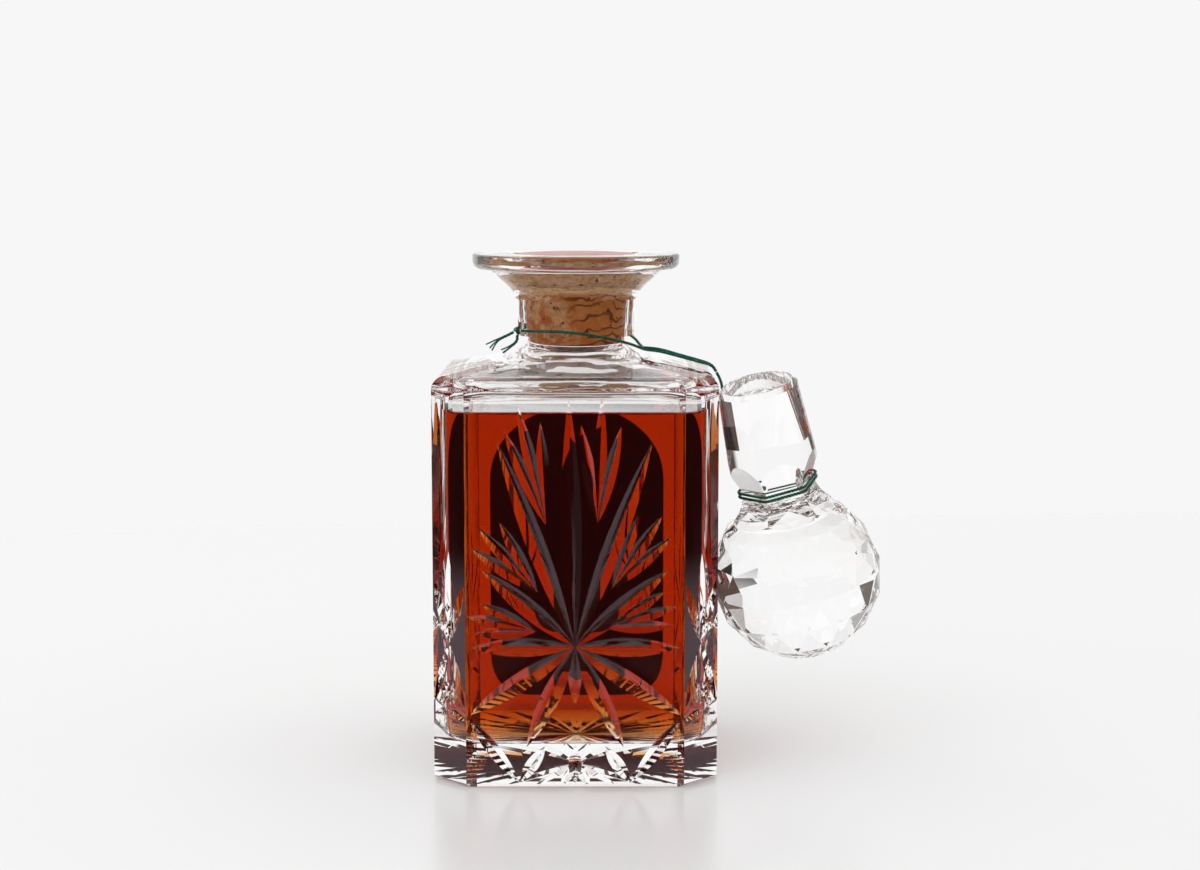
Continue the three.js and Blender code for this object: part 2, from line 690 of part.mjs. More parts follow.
add('glass_body', toGeometry(glassBody()), materials.glass);
add('whisky', whiskyFill(), materials.whisky);
add('cork', corkGeometry(), materials.cork);
add('wax_seal', waxGeometry(), materials.wax);
add('back_label', labelGeometry(), materials.paper);
add('glass_stopper', stopperShape, materials.glass).applyMatrix4(stopperTurn);
add('cord_neck_front', tube(curveOf(frontStrand), cordDiameter, 20), materials.string);
add('cord_neck_back', tube(curveOf(backStrand), cordDiameter, 24), materials.string);
add('cord_knot', knotGeometry(), materials.string);
add('cord_tail_long', tube(curveOf(longTail), cordDiameter, 5), materials.string);
add('cord_tail_short', tube(curveOf(shortTail), cordDiameter, 5), materials.string);
add('cord_span', tube(curveOf(spanPath), doubledDiameter, 12), materials.string);
add('cord_drop', tube(curveOf(dropPath), doubledDiameter, 14), materials.string);
add('cord_winding', windingGeometry(), materials.string);

export default group;
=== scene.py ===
# %% [markdown]
# # A cut-glass whisky decanter
# This lesson dresses a square decanter of heavy cut glass. Whisky fills it, a cork under poured wax closes
# it, and its faceted ball stopper hangs beside it on a green string. The solids that carry and move
# everything are loaded first as a fixed frame. Each piece that shows is then modelled finely over its plain
# solid, in the same place.

# %% Load the frame
import math

import bmesh
import bpy
from mathutils import Matrix, Vector
from mathutils.geometry import interpolate_bezier
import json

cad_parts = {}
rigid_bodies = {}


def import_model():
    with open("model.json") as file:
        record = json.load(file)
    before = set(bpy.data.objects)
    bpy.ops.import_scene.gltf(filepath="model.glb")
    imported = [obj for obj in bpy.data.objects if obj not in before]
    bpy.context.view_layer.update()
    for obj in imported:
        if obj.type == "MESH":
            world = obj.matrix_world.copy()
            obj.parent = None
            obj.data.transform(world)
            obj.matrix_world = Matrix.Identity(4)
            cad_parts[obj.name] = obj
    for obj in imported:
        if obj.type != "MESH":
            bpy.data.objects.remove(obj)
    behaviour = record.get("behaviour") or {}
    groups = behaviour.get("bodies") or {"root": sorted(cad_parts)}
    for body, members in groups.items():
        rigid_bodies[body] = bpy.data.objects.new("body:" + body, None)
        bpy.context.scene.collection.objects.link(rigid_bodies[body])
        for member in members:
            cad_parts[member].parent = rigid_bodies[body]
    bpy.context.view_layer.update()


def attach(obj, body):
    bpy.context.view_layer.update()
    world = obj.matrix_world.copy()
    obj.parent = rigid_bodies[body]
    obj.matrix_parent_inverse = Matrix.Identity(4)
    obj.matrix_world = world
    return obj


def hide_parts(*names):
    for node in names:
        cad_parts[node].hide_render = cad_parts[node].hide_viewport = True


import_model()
MM = 0.001

# %% [markdown]
# ## The camera
# The picture was taken from a little above the rim with a long lens. The focal length is counted in pixels
# of a picture 1200 wide, and a 36 mm sensor turns that into the millimetres that Blender asks for. The
# camera looks down by 0.121 radians, which is about 7 degrees.

# %% Place the camera
PICTURE_WIDTH = 1200
FOCAL_PIXELS = 2168.2
SENSOR = 36
LOOK_DOWN = 0.121
CAMERA_PLACE = (0.008231, -0.74734, 0.20288)

lens = bpy.data.cameras.new("camera")
lens.sensor_width = SENSOR
lens.lens = SENSOR * FOCAL_PIXELS / PICTURE_WIDTH
camera = bpy.data.objects.new("camera", lens)
camera.location = CAMERA_PLACE
camera.rotation_euler = (math.pi / 2 - LOOK_DOWN, 0, 0)
bpy.context.scene.collection.objects.link(camera)
bpy.context.scene.camera = camera
bpy.context.scene.view_settings.view_transform = "Standard"
print("lens in mm:", round(lens.lens, 2))

# %% [markdown]
# ## Shader maths that reads like maths
# A material is a graph of nodes. Wrapping a node's output in a small class lets Python's own operators add
# the Math nodes, so a pattern reads as one expression. Every other node comes from a single method, which
# takes its type, its settings and what goes into its sockets. The short methods after it spare the nodes
# that are used most, such as a noise or a soft step, from being spelt out each time.

# %% Wrap sockets and materials
class Wire:
    """The output of a node, which + - * < and > turn into Math nodes."""

    def __init__(self, recipe, socket):
        self.recipe = recipe
        self.socket = socket

    def maths(self, operation, first, second):
        return self.recipe.node("ShaderNodeMath", {"operation": operation}, {0: first, 1: second})

    def __add__(self, other):
        return self.maths("ADD", self, other)

    def __radd__(self, other):
        return self.maths("ADD", other, self)

    def __sub__(self, other):
        return self.maths("SUBTRACT", self, other)

    def __rsub__(self, other):
        return self.maths("SUBTRACT", other, self)

    def __mul__(self, other):
        return self.maths("MULTIPLY", self, other)

    def __rmul__(self, other):
        return self.maths("MULTIPLY", other, self)

    def __gt__(self, other):
        return self.maths("GREATER_THAN", self, other)

    def __lt__(self, other):
        return self.maths("LESS_THAN", self, other)


class Recipe:
    """The node tree of one material, or of the world."""

    def __init__(self, owner):
        self.owner = owner
        owner.use_nodes = True
        self.tree = owner.node_tree
        self.tree.nodes.clear()

    def node(self, kind, settings=None, inputs=None, output=0):
        made = self.tree.nodes.new(kind)
        for name, value in (settings or {}).items():
            if name == "stops":
                self.set_stops(made.color_ramp.elements, value)
            else:
                setattr(made, name, value)
        for key, value in (inputs or {}).items():
            socket = made.inputs[key]
            if isinstance(value, Wire):
                self.tree.links.new(value.socket, socket)
            else:
                socket.default_value = value
        return Wire(self, made.outputs[output]) if made.outputs else None

    def set_stops(self, elements, stops):
        while len(elements) < len(stops):
            elements.new(1)
        for element, (place, colour) in zip(elements, stops):
            element.position = place
            element.color = (*colour, 1)

    def blend(self, share, first, second):
        settings = {"data_type": "RGBA", "clamp_factor": True}
        return self.node("ShaderNodeMix", settings, {0: share, 6: first, 7: second}, output=2)

    def mix_shaders(self, share, first, second):
        return self.node("ShaderNodeMixShader", None, {0: share, 1: first, 2: second})

    def ramp(self, share, stops):
        return self.node("ShaderNodeValToRGB", {"stops": stops}, {0: share})

    def step(self, value, low, high):
        """Nothing at the low value, all at the high one, and a soft change between them."""
        inputs = {"Value": value, "From Min": low, "From Max": high}
        return self.node("ShaderNodeMapRange", {"interpolation_type": "SMOOTHSTEP"}, inputs)

    def noise(self, place, scale, detail, roughness=0.5, output=0):
        inputs = {"Vector": place, "Scale": scale, "Detail": detail, "Roughness": roughness}
        return self.node("ShaderNodeTexNoise", None, inputs, output)

    def bump(self, strength, distance, height):
        inputs = {"Strength": strength, "Distance": distance, "Height": height}
        return self.node("ShaderNodeBump", None, inputs)

    def along(self, axis, vector):
        return self.node("ShaderNodeSeparateXYZ", None, {"Vector": vector}, axis)

    def larger(self, first, second):
        return self.node("ShaderNodeMath", {"operation": "MAXIMUM"}, {0: first, 1: second})

    def size(self, value):
        return self.node("ShaderNodeMath", {"operation": "ABSOLUTE"}, {0: value})

    def ray(self, question):
        return self.node("ShaderNodeLightPath", output=question)

    def surface(self, inputs):
        return self.node("ShaderNodeBsdfPrincipled", None, inputs)

    def finish(self, surface, volume=None):
        inputs = {"Surface": surface}
        if volume:
            inputs["Volume"] = volume
        world = isinstance(self.owner, bpy.types.World)
        self.node("ShaderNodeOutputWorld" if world else "ShaderNodeOutputMaterial", None, inputs)
        return self.owner


def new_recipe(name):
    return Recipe(bpy.data.materials.new(name))


def place_in_mm(recipe, stretch=(1, 1, 1)):
    """Object coordinates in millimetres, stretched by a Mapping node."""
    place = recipe.node("ShaderNodeTexCoord", output="Object")
    scale = [share / MM for share in stretch]
    return recipe.node("ShaderNodeMapping", None, {"Vector": place, "Scale": scale})


# %% [markdown]
# ## Tools for building closed meshes
# Nearly every form here is a loop of vertices that travels: up the body, along the string, or round the
# axis of the neck. One helper extrudes a loop through a list of rings and closes its ends. Another spins a
# profile. They work in millimetres, and a piece is scaled to metres when it is finished.

# %% Extrude, spin and cut
def skin(rings, into=None):
    """Extrudes the first ring of points through the others and closes both ends."""
    bm = into or bmesh.new()
    loop = [bm.verts.new(point) for point in rings[0]]
    count = len(loop)
    edges = [bm.edges.new((loop[i], loop[(i + 1) % count])) for i in range(count)]
    caps = [list(edges)]
    for ring in rings[1:]:
        made = bmesh.ops.extrude_edge_only(bm, edges=edges)["geom"]
        new_faces = [item for item in made if isinstance(item, bmesh.types.BMFace)]
        follow = {}
        for face in new_faces:
            for edge in face.edges:
                ends = [vert for vert in edge.verts if vert in loop]
                if len(ends) == 1:
                    follow[ends[0]] = edge.other_vert(ends[0])
        loop = [follow[vert] for vert in loop]
        for vert, point in zip(loop, ring):
            vert.co = point
        edges = [bm.edges.get((loop[i], loop[(i + 1) % count])) for i in range(count)]
    caps.append(edges)
    for cap in caps:
        bmesh.ops.edgeloop_fill(bm, edges=cap)
    bmesh.ops.recalc_face_normals(bm, faces=list(bm.faces))
    return bm


def spin(profile, steps=96):
    """Turns a profile of (radius, height) points, which starts and ends on the axis, into a solid."""
    bm = bmesh.new()
    verts = [bm.verts.new((radius, 0, height)) for radius, height in profile]
    edges = [bm.edges.new(pair) for pair in zip(verts, verts[1:])]
    turn = {"cent": (0, 0, 0), "axis": (0, 0, 1), "angle": 2 * math.pi}
    bmesh.ops.spin(bm, geom=verts + edges, steps=steps, use_merge=True, **turn)
    bmesh.ops.remove_doubles(bm, verts=list(bm.verts), dist=1e-4)
    bmesh.ops.recalc_face_normals(bm, faces=list(bm.faces))
    return bm


def prism(points, depth):
    """A flat outline, extruded along its normal."""
    bm = bmesh.new()
    face = bm.faces.new([bm.verts.new(point) for point in points])
    face.normal_update()
    made = bmesh.ops.extrude_face_region(bm, geom=[face])["geom"]
    moved = [item for item in made if isinstance(item, bmesh.types.BMVert)]
    bmesh.ops.translate(bm, verts=moved, vec=face.normal * depth)
    bmesh.ops.recalc_face_normals(bm, faces=list(bm.faces))
    return bm


def holder(name, bm):
    mesh = bpy.data.meshes.new(name)
    bm.to_mesh(mesh)
    bm.free()
    made = bpy.data.objects.new(name, mesh)
    bpy.context.scene.collection.objects.link(made)
    return made


def combine(base, tool, operation):
    """Joins two closed meshes, or cuts one from the other, and returns the result."""
    first = holder("first", base)
    second = holder("second", tool)
    change = first.modifiers.new("change", "BOOLEAN")
    change.operation = operation
    change.solver = "MANIFOLD"
    change.object = second
    result = bmesh.new()
    result.from_object(first, bpy.context.evaluated_depsgraph_get())
    for used in (first, second):
        mesh = used.data
        bpy.data.objects.remove(used)
        bpy.data.meshes.remove(mesh)
    return result


def merged(meshes):
    """Several meshes as one, each still whole."""
    result = bmesh.new()
    for bm in meshes:
        mesh = bpy.data.meshes.new("part")
        bm.to_mesh(mesh)
        bm.free()
        result.from_mesh(mesh)
        bpy.data.meshes.remove(mesh)
    return result


def shade(bm, crease):
    """Smooth faces, with a sharp edge wherever two meet at more than the crease angle in degrees."""
    limit = math.radians(crease)
    for face in bm.faces:
        face.smooth = True
    for edge in bm.edges:
        edge.smooth = len(edge.link_faces) == 2 and edge.calc_face_angle(0) < limit


def piece(name, bm, materials, crease, body, replaces):
    """A finished piece in metres, shaded, with its materials, riding on its body."""
    bmesh.ops.scale(bm, vec=(MM, MM, MM), verts=list(bm.verts))
    shade(bm, crease)
    made = holder(name, bm)
    for material in materials:
        made.data.materials.append(material)
    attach(made, body)
    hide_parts(*replaces)
    print(name, len(made.data.polygons), "faces")
    return made


def lerp(start, end, share):
    return start + (end - start) * share


def smooth_line(points, steps):
    """A smooth line through the points, with this many steps between each two."""
    points = [Vector(point) for point in points]
    ahead = [points[min(i + 1, len(points) - 1)] for i in range(len(points))]
    behind = [points[max(i - 1, 0)] for i in range(len(points))]
    line = []
    for i in range(len(points) - 1):
        reach = (points[i + 1] - points[i]).length
        first = (ahead[i] - behind[i]).normalized() * reach / 3
        last = (ahead[i + 1] - behind[i + 1]).normalized() * reach / 3
        handles = (points[i] + first, points[i + 1] - last)
        line += interpolate_bezier(points[i], *handles, points[i + 1], steps + 1)[:-1]
    return line + [points[-1]]


# %% [markdown]
# ## The string
# A dark green waxed twine is tied round the neck, runs doubled over the shoulder and hangs down to the
# stopper. Real twine is two or three plies laid round each other. A round tube with a painted pattern looks
# like plastic, so each ply is a tube of its own that winds round the string's route, and a fine noise on it
# stands for its fibres. At the tails' ends the plies part and fray.

# %% The route of the string
STRING = 0.9
FRONT = [
    (-18.5, -12.1, 149.2), (-14.9, -15.2, 149.3), (-9.2, -20.2, 149.5), (-4.6, -21.1, 149.4),
    (1.5, -21.1, 148.8), (6.4, -21.1, 148), (9.8, -20.3, 147.3), (14.3, -17.4, 146.1),
    (18.8, -13.2, 144.6), (22, -10.4, 143.2), (23.8, -9.1, 142.5),
]
BACK = [
    (-20.1, -9.55, 149), (-21, -3.6, 148.8), (-20.9, 3, 148.7), (-20.2, 9.2, 148.6), (-15, 15.2, 148.5),
    (-9.2, 20.2, 148.4), (0, 21.1, 148.4), (9.2, 20.2, 148.4), (15.4, 15.6, 147.6), (20, 10, 145.2),
    (22, 4, 143.3), (22.7, -2, 142.9), (23.1, -6.2, 142.9), (23.7, -8.2, 143.1),
]
SPAN = [
    (24.25, -8.7, 143.1), (28.8, -6.6, 142), (35.7, -4.4, 140), (42.7, -2, 137.9), (45.6, -0.8, 136.9),
    (47.3, -0.2, 135.8), (48.4, 0, 134.2),
]
DROP = [
    (48.6, 0.05, 133.75), (49.7, 0.9, 131.6), (50.6, 3, 128.7), (51, 5.3, 125), (51.4, 6.8, 120.8),
    (52.3, 7.5, 116), (53.6, 7.9, 110.8), (55.2, 8.3, 106.4), (57.3, 8.4, 103.2), (60.1, 7.8, 100.9),
    (63.4, 6.3, 99.6),
]
KNOT = (-19.7, -11.1, 149.1)
LONG_TAIL = [
    (-21.15, -11.6, 148.65), (-22.6, -12.1, 147.9), (-25, -12.8, 146.8), (-27.1, -13.2, 145.6),
    (-29.4, -13.5, 143.5),
]
SHORT_TAIL = [(-19.85, -11.65, 147.6), (-20.1, -12.3, 145.7), (-22.2, -13, 143.8), (-24.9, -13.6, 142.1)]

# The stopper hangs with its peg leaning towards the body and a little towards the front
TILT = math.radians(12.5)
FORWARD = math.radians(11)
BALL_PLACE = Vector((76.89, 0, 63.2))
HANG = Matrix.Translation(BALL_PLACE) @ Matrix.Rotation(FORWARD, 4, "X") @ Matrix.Rotation(-TILT, 4, "Y")
NECK_FLAT = 11.2
NECK_HEIGHT = 34
NECK_TURN = 38
WINDING_TURNS = 2
WINDING_PITCH = 1.5
WINDING_START = 75
WINDING_GAP = 0.3
WINDING_ROUND = 0.4


def winding_route(steps=72):
    """Two turns round the stopper's six-sided neck, on its flats and round its corners."""
    seat = NECK_FLAT + WINDING_GAP + STRING / 2 + WINDING_ROUND
    corner = seat / math.cos(math.pi / 6) - WINDING_ROUND
    start = NECK_HEIGHT - WINDING_TURNS * WINDING_PITCH / 2
    route = []
    for i in range(WINDING_TURNS * steps + 1):
        turn = WINDING_START + i / steps * 360
        from_flat = (turn + 30) % 60 - 30
        radius = min(seat / math.cos(math.radians(from_flat)), corner)
        angle = math.radians(turn + NECK_TURN)
        height = start + i / steps * WINDING_PITCH
        route.append(HANG @ Vector((radius * math.cos(angle), radius * math.sin(angle), height)))
    return route


def route_length(route):
    return sum((b - a).length for a, b in zip(route, route[1:]))


def beside(route, first, last):
    """The route moved sideways by an offset that changes from its first to its last value."""
    count = len(route) - 1
    return [point + Vector(first).lerp(Vector(last), i / count) for i, point in enumerate(route)]


print("winding in mm:", round(route_length(winding_route()), 1))


# %% Plies laid round a route
PLIES = 3
SWELL = 1.2
LAY = 3.4
PLY_SIDES = 7
PLY_SHARE = 0.25
RING_GAP = 0.3
FRAY_FROM = 0.5


def even_route(route, gap):
    """The same route with its points an even gap apart."""
    length = route_length(route)
    count = max(2, round(length / gap))
    made = [route[0].copy()]
    wanted = length / count
    travelled = 0.0
    for a, b in zip(route, route[1:]):
        span = (b - a).length
        while len(made) < count and travelled + span >= wanted * len(made):
            made.append(a.lerp(b, (wanted * len(made) - travelled) / span))
        travelled += span
    return made + [route[-1].copy()]


def side_frames(route):
    """At each point, two directions across the route that don't twist along it."""
    frames = []
    across = Vector((0, 0, 1))
    for i, point in enumerate(route):
        along = (route[min(i + 1, len(route) - 1)] - route[max(i - 1, 0)]).normalized()
        across = (across - along * across.dot(along)).normalized()
        frames.append((point, across.copy(), along.cross(across)))
    return frames


def tube_rings(frames, radius, sides, offset, turn_per_mm, phase, fray):
    """Rings of a tube that winds round a route at an offset, and parts from it at a frayed end."""
    rings = []
    travelled = 0
    for i, (point, across, other) in enumerate(frames):
        twisted = not fray or i < FRAY_FROM * len(frames)
        if i and twisted:
            travelled += (point - frames[i - 1][0]).length
        angle = phase + turn_per_mm * travelled
        parted = fray * max(0, i / (len(frames) - 1) - FRAY_FROM) ** 1.5
        centre = point + (across * math.cos(angle) + other * math.sin(angle)) * (offset + parted)
        ring = []
        for k in range(sides):
            around = angle + 2 * math.pi * k / sides
            ring.append(centre + (across * math.cos(around) + other * math.sin(around)) * radius)
        rings.append(ring)
    return rings


def string_material():
    recipe = new_recipe("waxed_twine")
    place = place_in_mm(recipe)
    fibre = recipe.noise(place, 2.6, 5, 0.7)
    patch = recipe.noise(place, 0.35, 2)
    stops = [(0.36, (0.001, 0.022, 0.014)), (0.52, (0.003, 0.11, 0.066)), (0.66, (0.07, 0.46, 0.31))]
    colour = recipe.ramp(fibre * 0.8 + patch * 0.2, stops)
    bump = recipe.bump(0.6, 0.00015, fibre)
    return recipe.finish(recipe.surface({"Base Color": colour, "Roughness": 0.38, "Normal": bump}))


twine_material = string_material()


def twine(name, route, body, replaces, fray=0):
    """A twisted string along a route, which looks a little thicker than it measures."""
    frames = side_frames(even_route(route, RING_GAP))
    diameter = STRING * SWELL
    ply = diameter * PLY_SHARE
    bm = bmesh.new()
    for k in range(PLIES):
        phase = 2 * math.pi * k / PLIES
        rings = tube_rings(frames, ply, PLY_SIDES, diameter / 2 - ply, 2 * math.pi / LAY, phase, fray)
        skin(rings, into=bm)
    return piece(name, bm, [twine_material], 70, body, replaces)


# %% Tie it round the neck and hang it down to the stopper
PAIR = 0.43
ROUTE_STEPS = 6
LONG_FRAY = 4
SHORT_FRAY = 1.5
KNOT_STEPS = 60
KNOT_LOBE = 0.33
KNOT_DEPTH = 0.28
KNOT_CLOSED = 0.97


def neck_strand(way_round, side):
    """One strand's way round the neck, and then its half of the span over the shoulder."""
    span = [Vector(point) for point in SPAN[1:]]
    half = beside(span, (0, side * PAIR * 0.6, side * PAIR * 0.8), (0, side * PAIR, 0))
    return smooth_line(way_round + half, ROUTE_STEPS)


def hanging_strand(side):
    drop = [Vector(point) for point in DROP]
    return smooth_line(beside(drop, (0, side * PAIR, 0), (0, side * PAIR * 0.5, side * PAIR)), ROUTE_STEPS)


def knot_route():
    """An overhand knot, as a small three-lobed loop that stops just before it closes."""
    route = []
    for i in range(KNOT_STEPS):
        t = i / (KNOT_STEPS - 1) * 2 * math.pi * KNOT_CLOSED
        spread = KNOT_LOBE * (2 + math.cos(3 * t))
        point = Vector((KNOT_DEPTH * math.sin(3 * t), spread * math.cos(2 * t), spread * math.sin(2 * t)))
        route.append(Vector(KNOT) + point)
    return route


front_route = neck_strand(FRONT, -1)
back_route = neck_strand(BACK, 1)
near_route = hanging_strand(-1)
far_route = hanging_strand(1)
string_front = twine("string_front", front_route, "decanter", ["cord_neck_front", "cord_span"])
string_back = twine("string_back", back_route, "decanter", ["cord_neck_back"])
string_drop_near = twine("string_drop_near", near_route, "stopper", ["cord_drop"])
string_drop_far = twine("string_drop_far", far_route, "stopper", ["cord_drop"])
string_winding = twine("string_winding", winding_route(), "stopper", ["cord_winding"])
long_tail = smooth_line(LONG_TAIL, ROUTE_STEPS)
short_tail = smooth_line(SHORT_TAIL, ROUTE_STEPS)
tail_long = twine("string_tail_long", long_tail, "decanter", ["cord_tail_long"], LONG_FRAY)
tail_short = twine("string_tail_short", short_tail, "decanter", ["cord_tail_short"], SHORT_FRAY)
knot = twine("string_knot", knot_route(), "decanter", ["cord_knot"])


# %% Say how long each stretch of string is
def declare(obj, route):
    points = [point * MM for point in route]
    length = route_length(points)
    print(obj.name, round(length / MM, 1), "mm")


declare(string_front, front_route)
declare(string_back, back_route)
declare(string_drop_near, near_route)
declare(string_drop_far, far_route)
declare(string_winding, winding_route())

# %% [markdown]
# ## The blank
# The blank is a blown block with cut corners, a low shoulder, a neck with an eight-sided collar, and a wide
# lip. The faces have to be truly flat for the cutting, so the body is a loop of points that travels up and
# turns from a square with cut corners into a circle at the neck. The neck is a spun profile, and eight
# blocks grind the collar's flats. The hollow is built in the same way and is taken out last.

# %% Sizes of the blank
HALF = 47.5
CORNER = 11.4
WALL_TOP = 131.4
SHOULDER_ROUND = 4.2
SHOULDER_RISE = 4.5
FOOT_BEVEL = 1.2
EDGE = WALL_TOP + SHOULDER_ROUND
NECK_FOOT = EDGE + SHOULDER_RISE
FOOT_RADIUS = 25.6
FOOT_SPREAD = 0.4
COVE_RADIUS = 16.6
COVE_SHARE = 0.9
COVE_CURVE = 2.9
COLLAR_LOW = NECK_FOOT + 7.1
COLLAR_HIGH = COLLAR_LOW + 12
COLLAR_SIDES = 8
COLLAR_FLAT = 19.9
COLLAR_CUT = 6
LIP_UNDER = COLLAR_HIGH + 10.4
RIM = LIP_UNDER + 5.4
LIP_RADIUS = 35.6
LIP_ROUND = 2.6
LIP_ROUND_HEIGHT = 2.8
RIM_ARRIS = 0.8
FLARE = [(0, 0), (0.08, 0.25), (0.31, 0.52), (0.59, 0.77), (0.77, 0.96), (1, 1.04)]
FLARE_INSET = 3.6
BORE_TOP = RIM - 7.5
CORK_LOW = BORE_TOP - 24.5
BORE_LOW_RADIUS = 13.5
BORE_HIGH_RADIUS = 15.2
MOUTH_RADIUS = 22.4
WAX_DEPTH = 2.2
SEAT_RADIUS = BORE_HIGH_RADIUS + 2
SEAT_RISE = 1.3
HEAD_RADIUS = MOUTH_RADIUS - 1.5

WALL = 6.5
FLOOR = 13.3
CAVITY = HALF - WALL
CAVITY_CORNER = 8.6
CAVITY_FILLET = 4
VAULT = 5
CEILING = EDGE - 3.6
THROAT = CEILING + VAULT
THROAT_RADIUS = 18
LEVEL = 124.8

FACE_STEPS = 12
CORNER_STEPS = 6
ROUND_STEPS = 12
SHOULDER_STEPS = 8
THROAT_STEPS = 6


def outline(height, half, corner, rounded=False, mix=0.0, radius=0.0):
    """One loop round the body: a square with cut or round corners, drawn towards a circle by mix."""
    flat = half - corner
    quarter = []
    for i in range(FACE_STEPS):
        quarter.append(Vector((half, lerp(-flat, flat, i / FACE_STEPS), 0)))
    for i in range(CORNER_STEPS):
        share = i / CORNER_STEPS
        angle = share * math.pi / 2
        if rounded:
            quarter.append(Vector((flat + corner * math.cos(angle), flat + corner * math.sin(angle), 0)))
        else:
            quarter.append(Vector((half - corner * share, flat + corner * share, 0)))
    loop = []
    for side in range(4):
        for point in quarter:
            length = lerp(point.length, radius, mix)
            turned = Matrix.Rotation(side * math.pi / 2, 3, "Z") @ point.normalized() * length
            loop.append(turned + Vector((0, 0, height)))
    return loop


def blank_body():
    rings = [outline(0, HALF - FOOT_BEVEL, CORNER)]
    rings += [outline(height, HALF, CORNER) for height in (FOOT_BEVEL, WALL_TOP)]
    for i in range(1, ROUND_STEPS + 1):
        angle = i / ROUND_STEPS * math.pi / 2
        inset = SHOULDER_ROUND * (1 - math.cos(angle))
        rings.append(outline(WALL_TOP + SHOULDER_ROUND * math.sin(angle), HALF - inset, CORNER))
    for i in range(1, SHOULDER_STEPS + 1):
        mix = i / SHOULDER_STEPS
        height = EDGE + SHOULDER_RISE * mix
        rings.append(outline(height, HALF - SHOULDER_ROUND, CORNER, False, mix, FOOT_RADIUS + FOOT_SPREAD))
    bm = skin(rings)
    flat = math.radians(0.3)
    bmesh.ops.dissolve_limit(bm, angle_limit=flat, verts=list(bm.verts), edges=list(bm.edges))
    return bm


def arc(centre_radius, centre_height, radius, start, end, steps):
    points = []
    for i in range(steps + 1):
        angle = math.radians(lerp(start, end, i / steps))
        points.append((centre_radius + radius * math.cos(angle), centre_height + radius * math.sin(angle)))
    return points


def collar_cut(turn):
    """The block that grinds one flat on the collar."""
    bm = bmesh.new()
    verts = bmesh.ops.create_cube(bm, size=1)["verts"]
    bmesh.ops.scale(bm, vec=(COLLAR_CUT, 24, COLLAR_HIGH - COLLAR_LOW + 0.6), verts=verts)
    middle = (COLLAR_FLAT + COLLAR_CUT / 2, 0, (COLLAR_LOW + COLLAR_HIGH) / 2 + 0.1)
    bmesh.ops.translate(bm, vec=middle, verts=verts)
    bmesh.ops.rotate(bm, cent=(0, 0, 0), matrix=Matrix.Rotation(turn, 3, "Z"), verts=verts)
    return bm


def blank_neck():
    """The cove, the collar with its flats, the flare and the lip, all solid."""
    sunk = NECK_FOOT - 1
    collar = lerp(COLLAR_FLAT, COLLAR_FLAT / math.cos(math.pi / COLLAR_SIDES), 0.6)
    profile = [(0, sunk), (FOOT_RADIUS, sunk)]
    for i in range(ROUND_STEPS + 1):
        share = i / ROUND_STEPS
        height = NECK_FOOT + COVE_SHARE * (COLLAR_LOW - NECK_FOOT) * share
        profile.append((lerp(COVE_RADIUS, FOOT_RADIUS, (1 - share) ** COVE_CURVE), height))
    profile += [(collar, COLLAR_LOW), (collar, COLLAR_HIGH)]
    reach = LIP_RADIUS - FLARE_INSET - collar
    rise = LIP_UNDER - COLLAR_HIGH
    flare = smooth_line([(collar + out * reach, 0, COLLAR_HIGH + up * rise) for out, up in FLARE], 4)
    profile += [(point.x, point.z) for point in flare[1:]]
    profile += arc(LIP_RADIUS - LIP_ROUND, LIP_UNDER + LIP_ROUND_HEIGHT, LIP_ROUND, -80, 0, 12)
    profile += arc(LIP_RADIUS - RIM_ARRIS, RIM - RIM_ARRIS, RIM_ARRIS, 0, 90, 9)
    profile += [(0, RIM)]
    bm = spin(profile)
    cuts = [collar_cut(i * 2 * math.pi / COLLAR_SIDES) for i in range(COLLAR_SIDES)]
    for group in (cuts[0::2], cuts[1::2]):
        bm = combine(bm, merged(group), "DIFFERENCE")
    return bm


def hollow():
    """The chamber inside, the ground bore and the mouth."""
    rings = []
    for i in range(ROUND_STEPS + 1):
        angle = math.radians(90 - i / ROUND_STEPS * 90)
        drawn_in = CAVITY_FILLET * (1 - math.cos(angle))
        height = FLOOR + CAVITY_FILLET * (1 - math.sin(angle))
        rings.append(outline(height, CAVITY - drawn_in, CAVITY_CORNER, True))
    for i in range(ROUND_STEPS + 1):
        angle = math.radians(i / ROUND_STEPS * 90)
        height = CEILING - VAULT + VAULT * math.sin(angle)
        rings.append(outline(height, CAVITY - VAULT * (1 - math.cos(angle)), CAVITY_CORNER, True))
    for i in range(1, THROAT_STEPS + 1):
        mix = i / THROAT_STEPS
        height = lerp(CEILING, THROAT, mix)
        rings.append(outline(height, CAVITY - VAULT, CAVITY_CORNER, True, mix, THROAT_RADIUS))
    rings.append(outline(THROAT + 2.4, CAVITY - VAULT, CAVITY_CORNER, True, 1, BORE_LOW_RADIUS + 0.5))
    chamber = skin(rings)
    bore = spin([
        (0, THROAT), (BORE_LOW_RADIUS, THROAT), (BORE_LOW_RADIUS, CORK_LOW), (BORE_HIGH_RADIUS, BORE_TOP),
        (SEAT_RADIUS, BORE_TOP + SEAT_RISE), (HEAD_RADIUS, RIM - WAX_DEPTH), (MOUTH_RADIUS, RIM),
        (MOUTH_RADIUS, RIM + 1), (0, RIM + 1),
    ])
    return combine(chamber, bore, "UNION")


# %% [markdown]
# ## The wheel's cuts
# A cutter holds the glass against a turning wheel whose edge is a V. The wheel sinks in, runs along a line
# and lifts out again, so every cut is a leaf with two flat flanks, and it could be painted on as bump. Real
# flanks are better, because each one bends the whisky behind it to another colour. The pattern is a list of
# lines: a star of long rays with small fans between them, a zigzag at the foot, crossings on the cut
# corners, notches over the shoulder and a star under the base. They are cut one small set at a time.

# %% The wheel's V cut
FLANK = math.tan(math.radians(35))
STATIONS = 11
OVER = 0.35


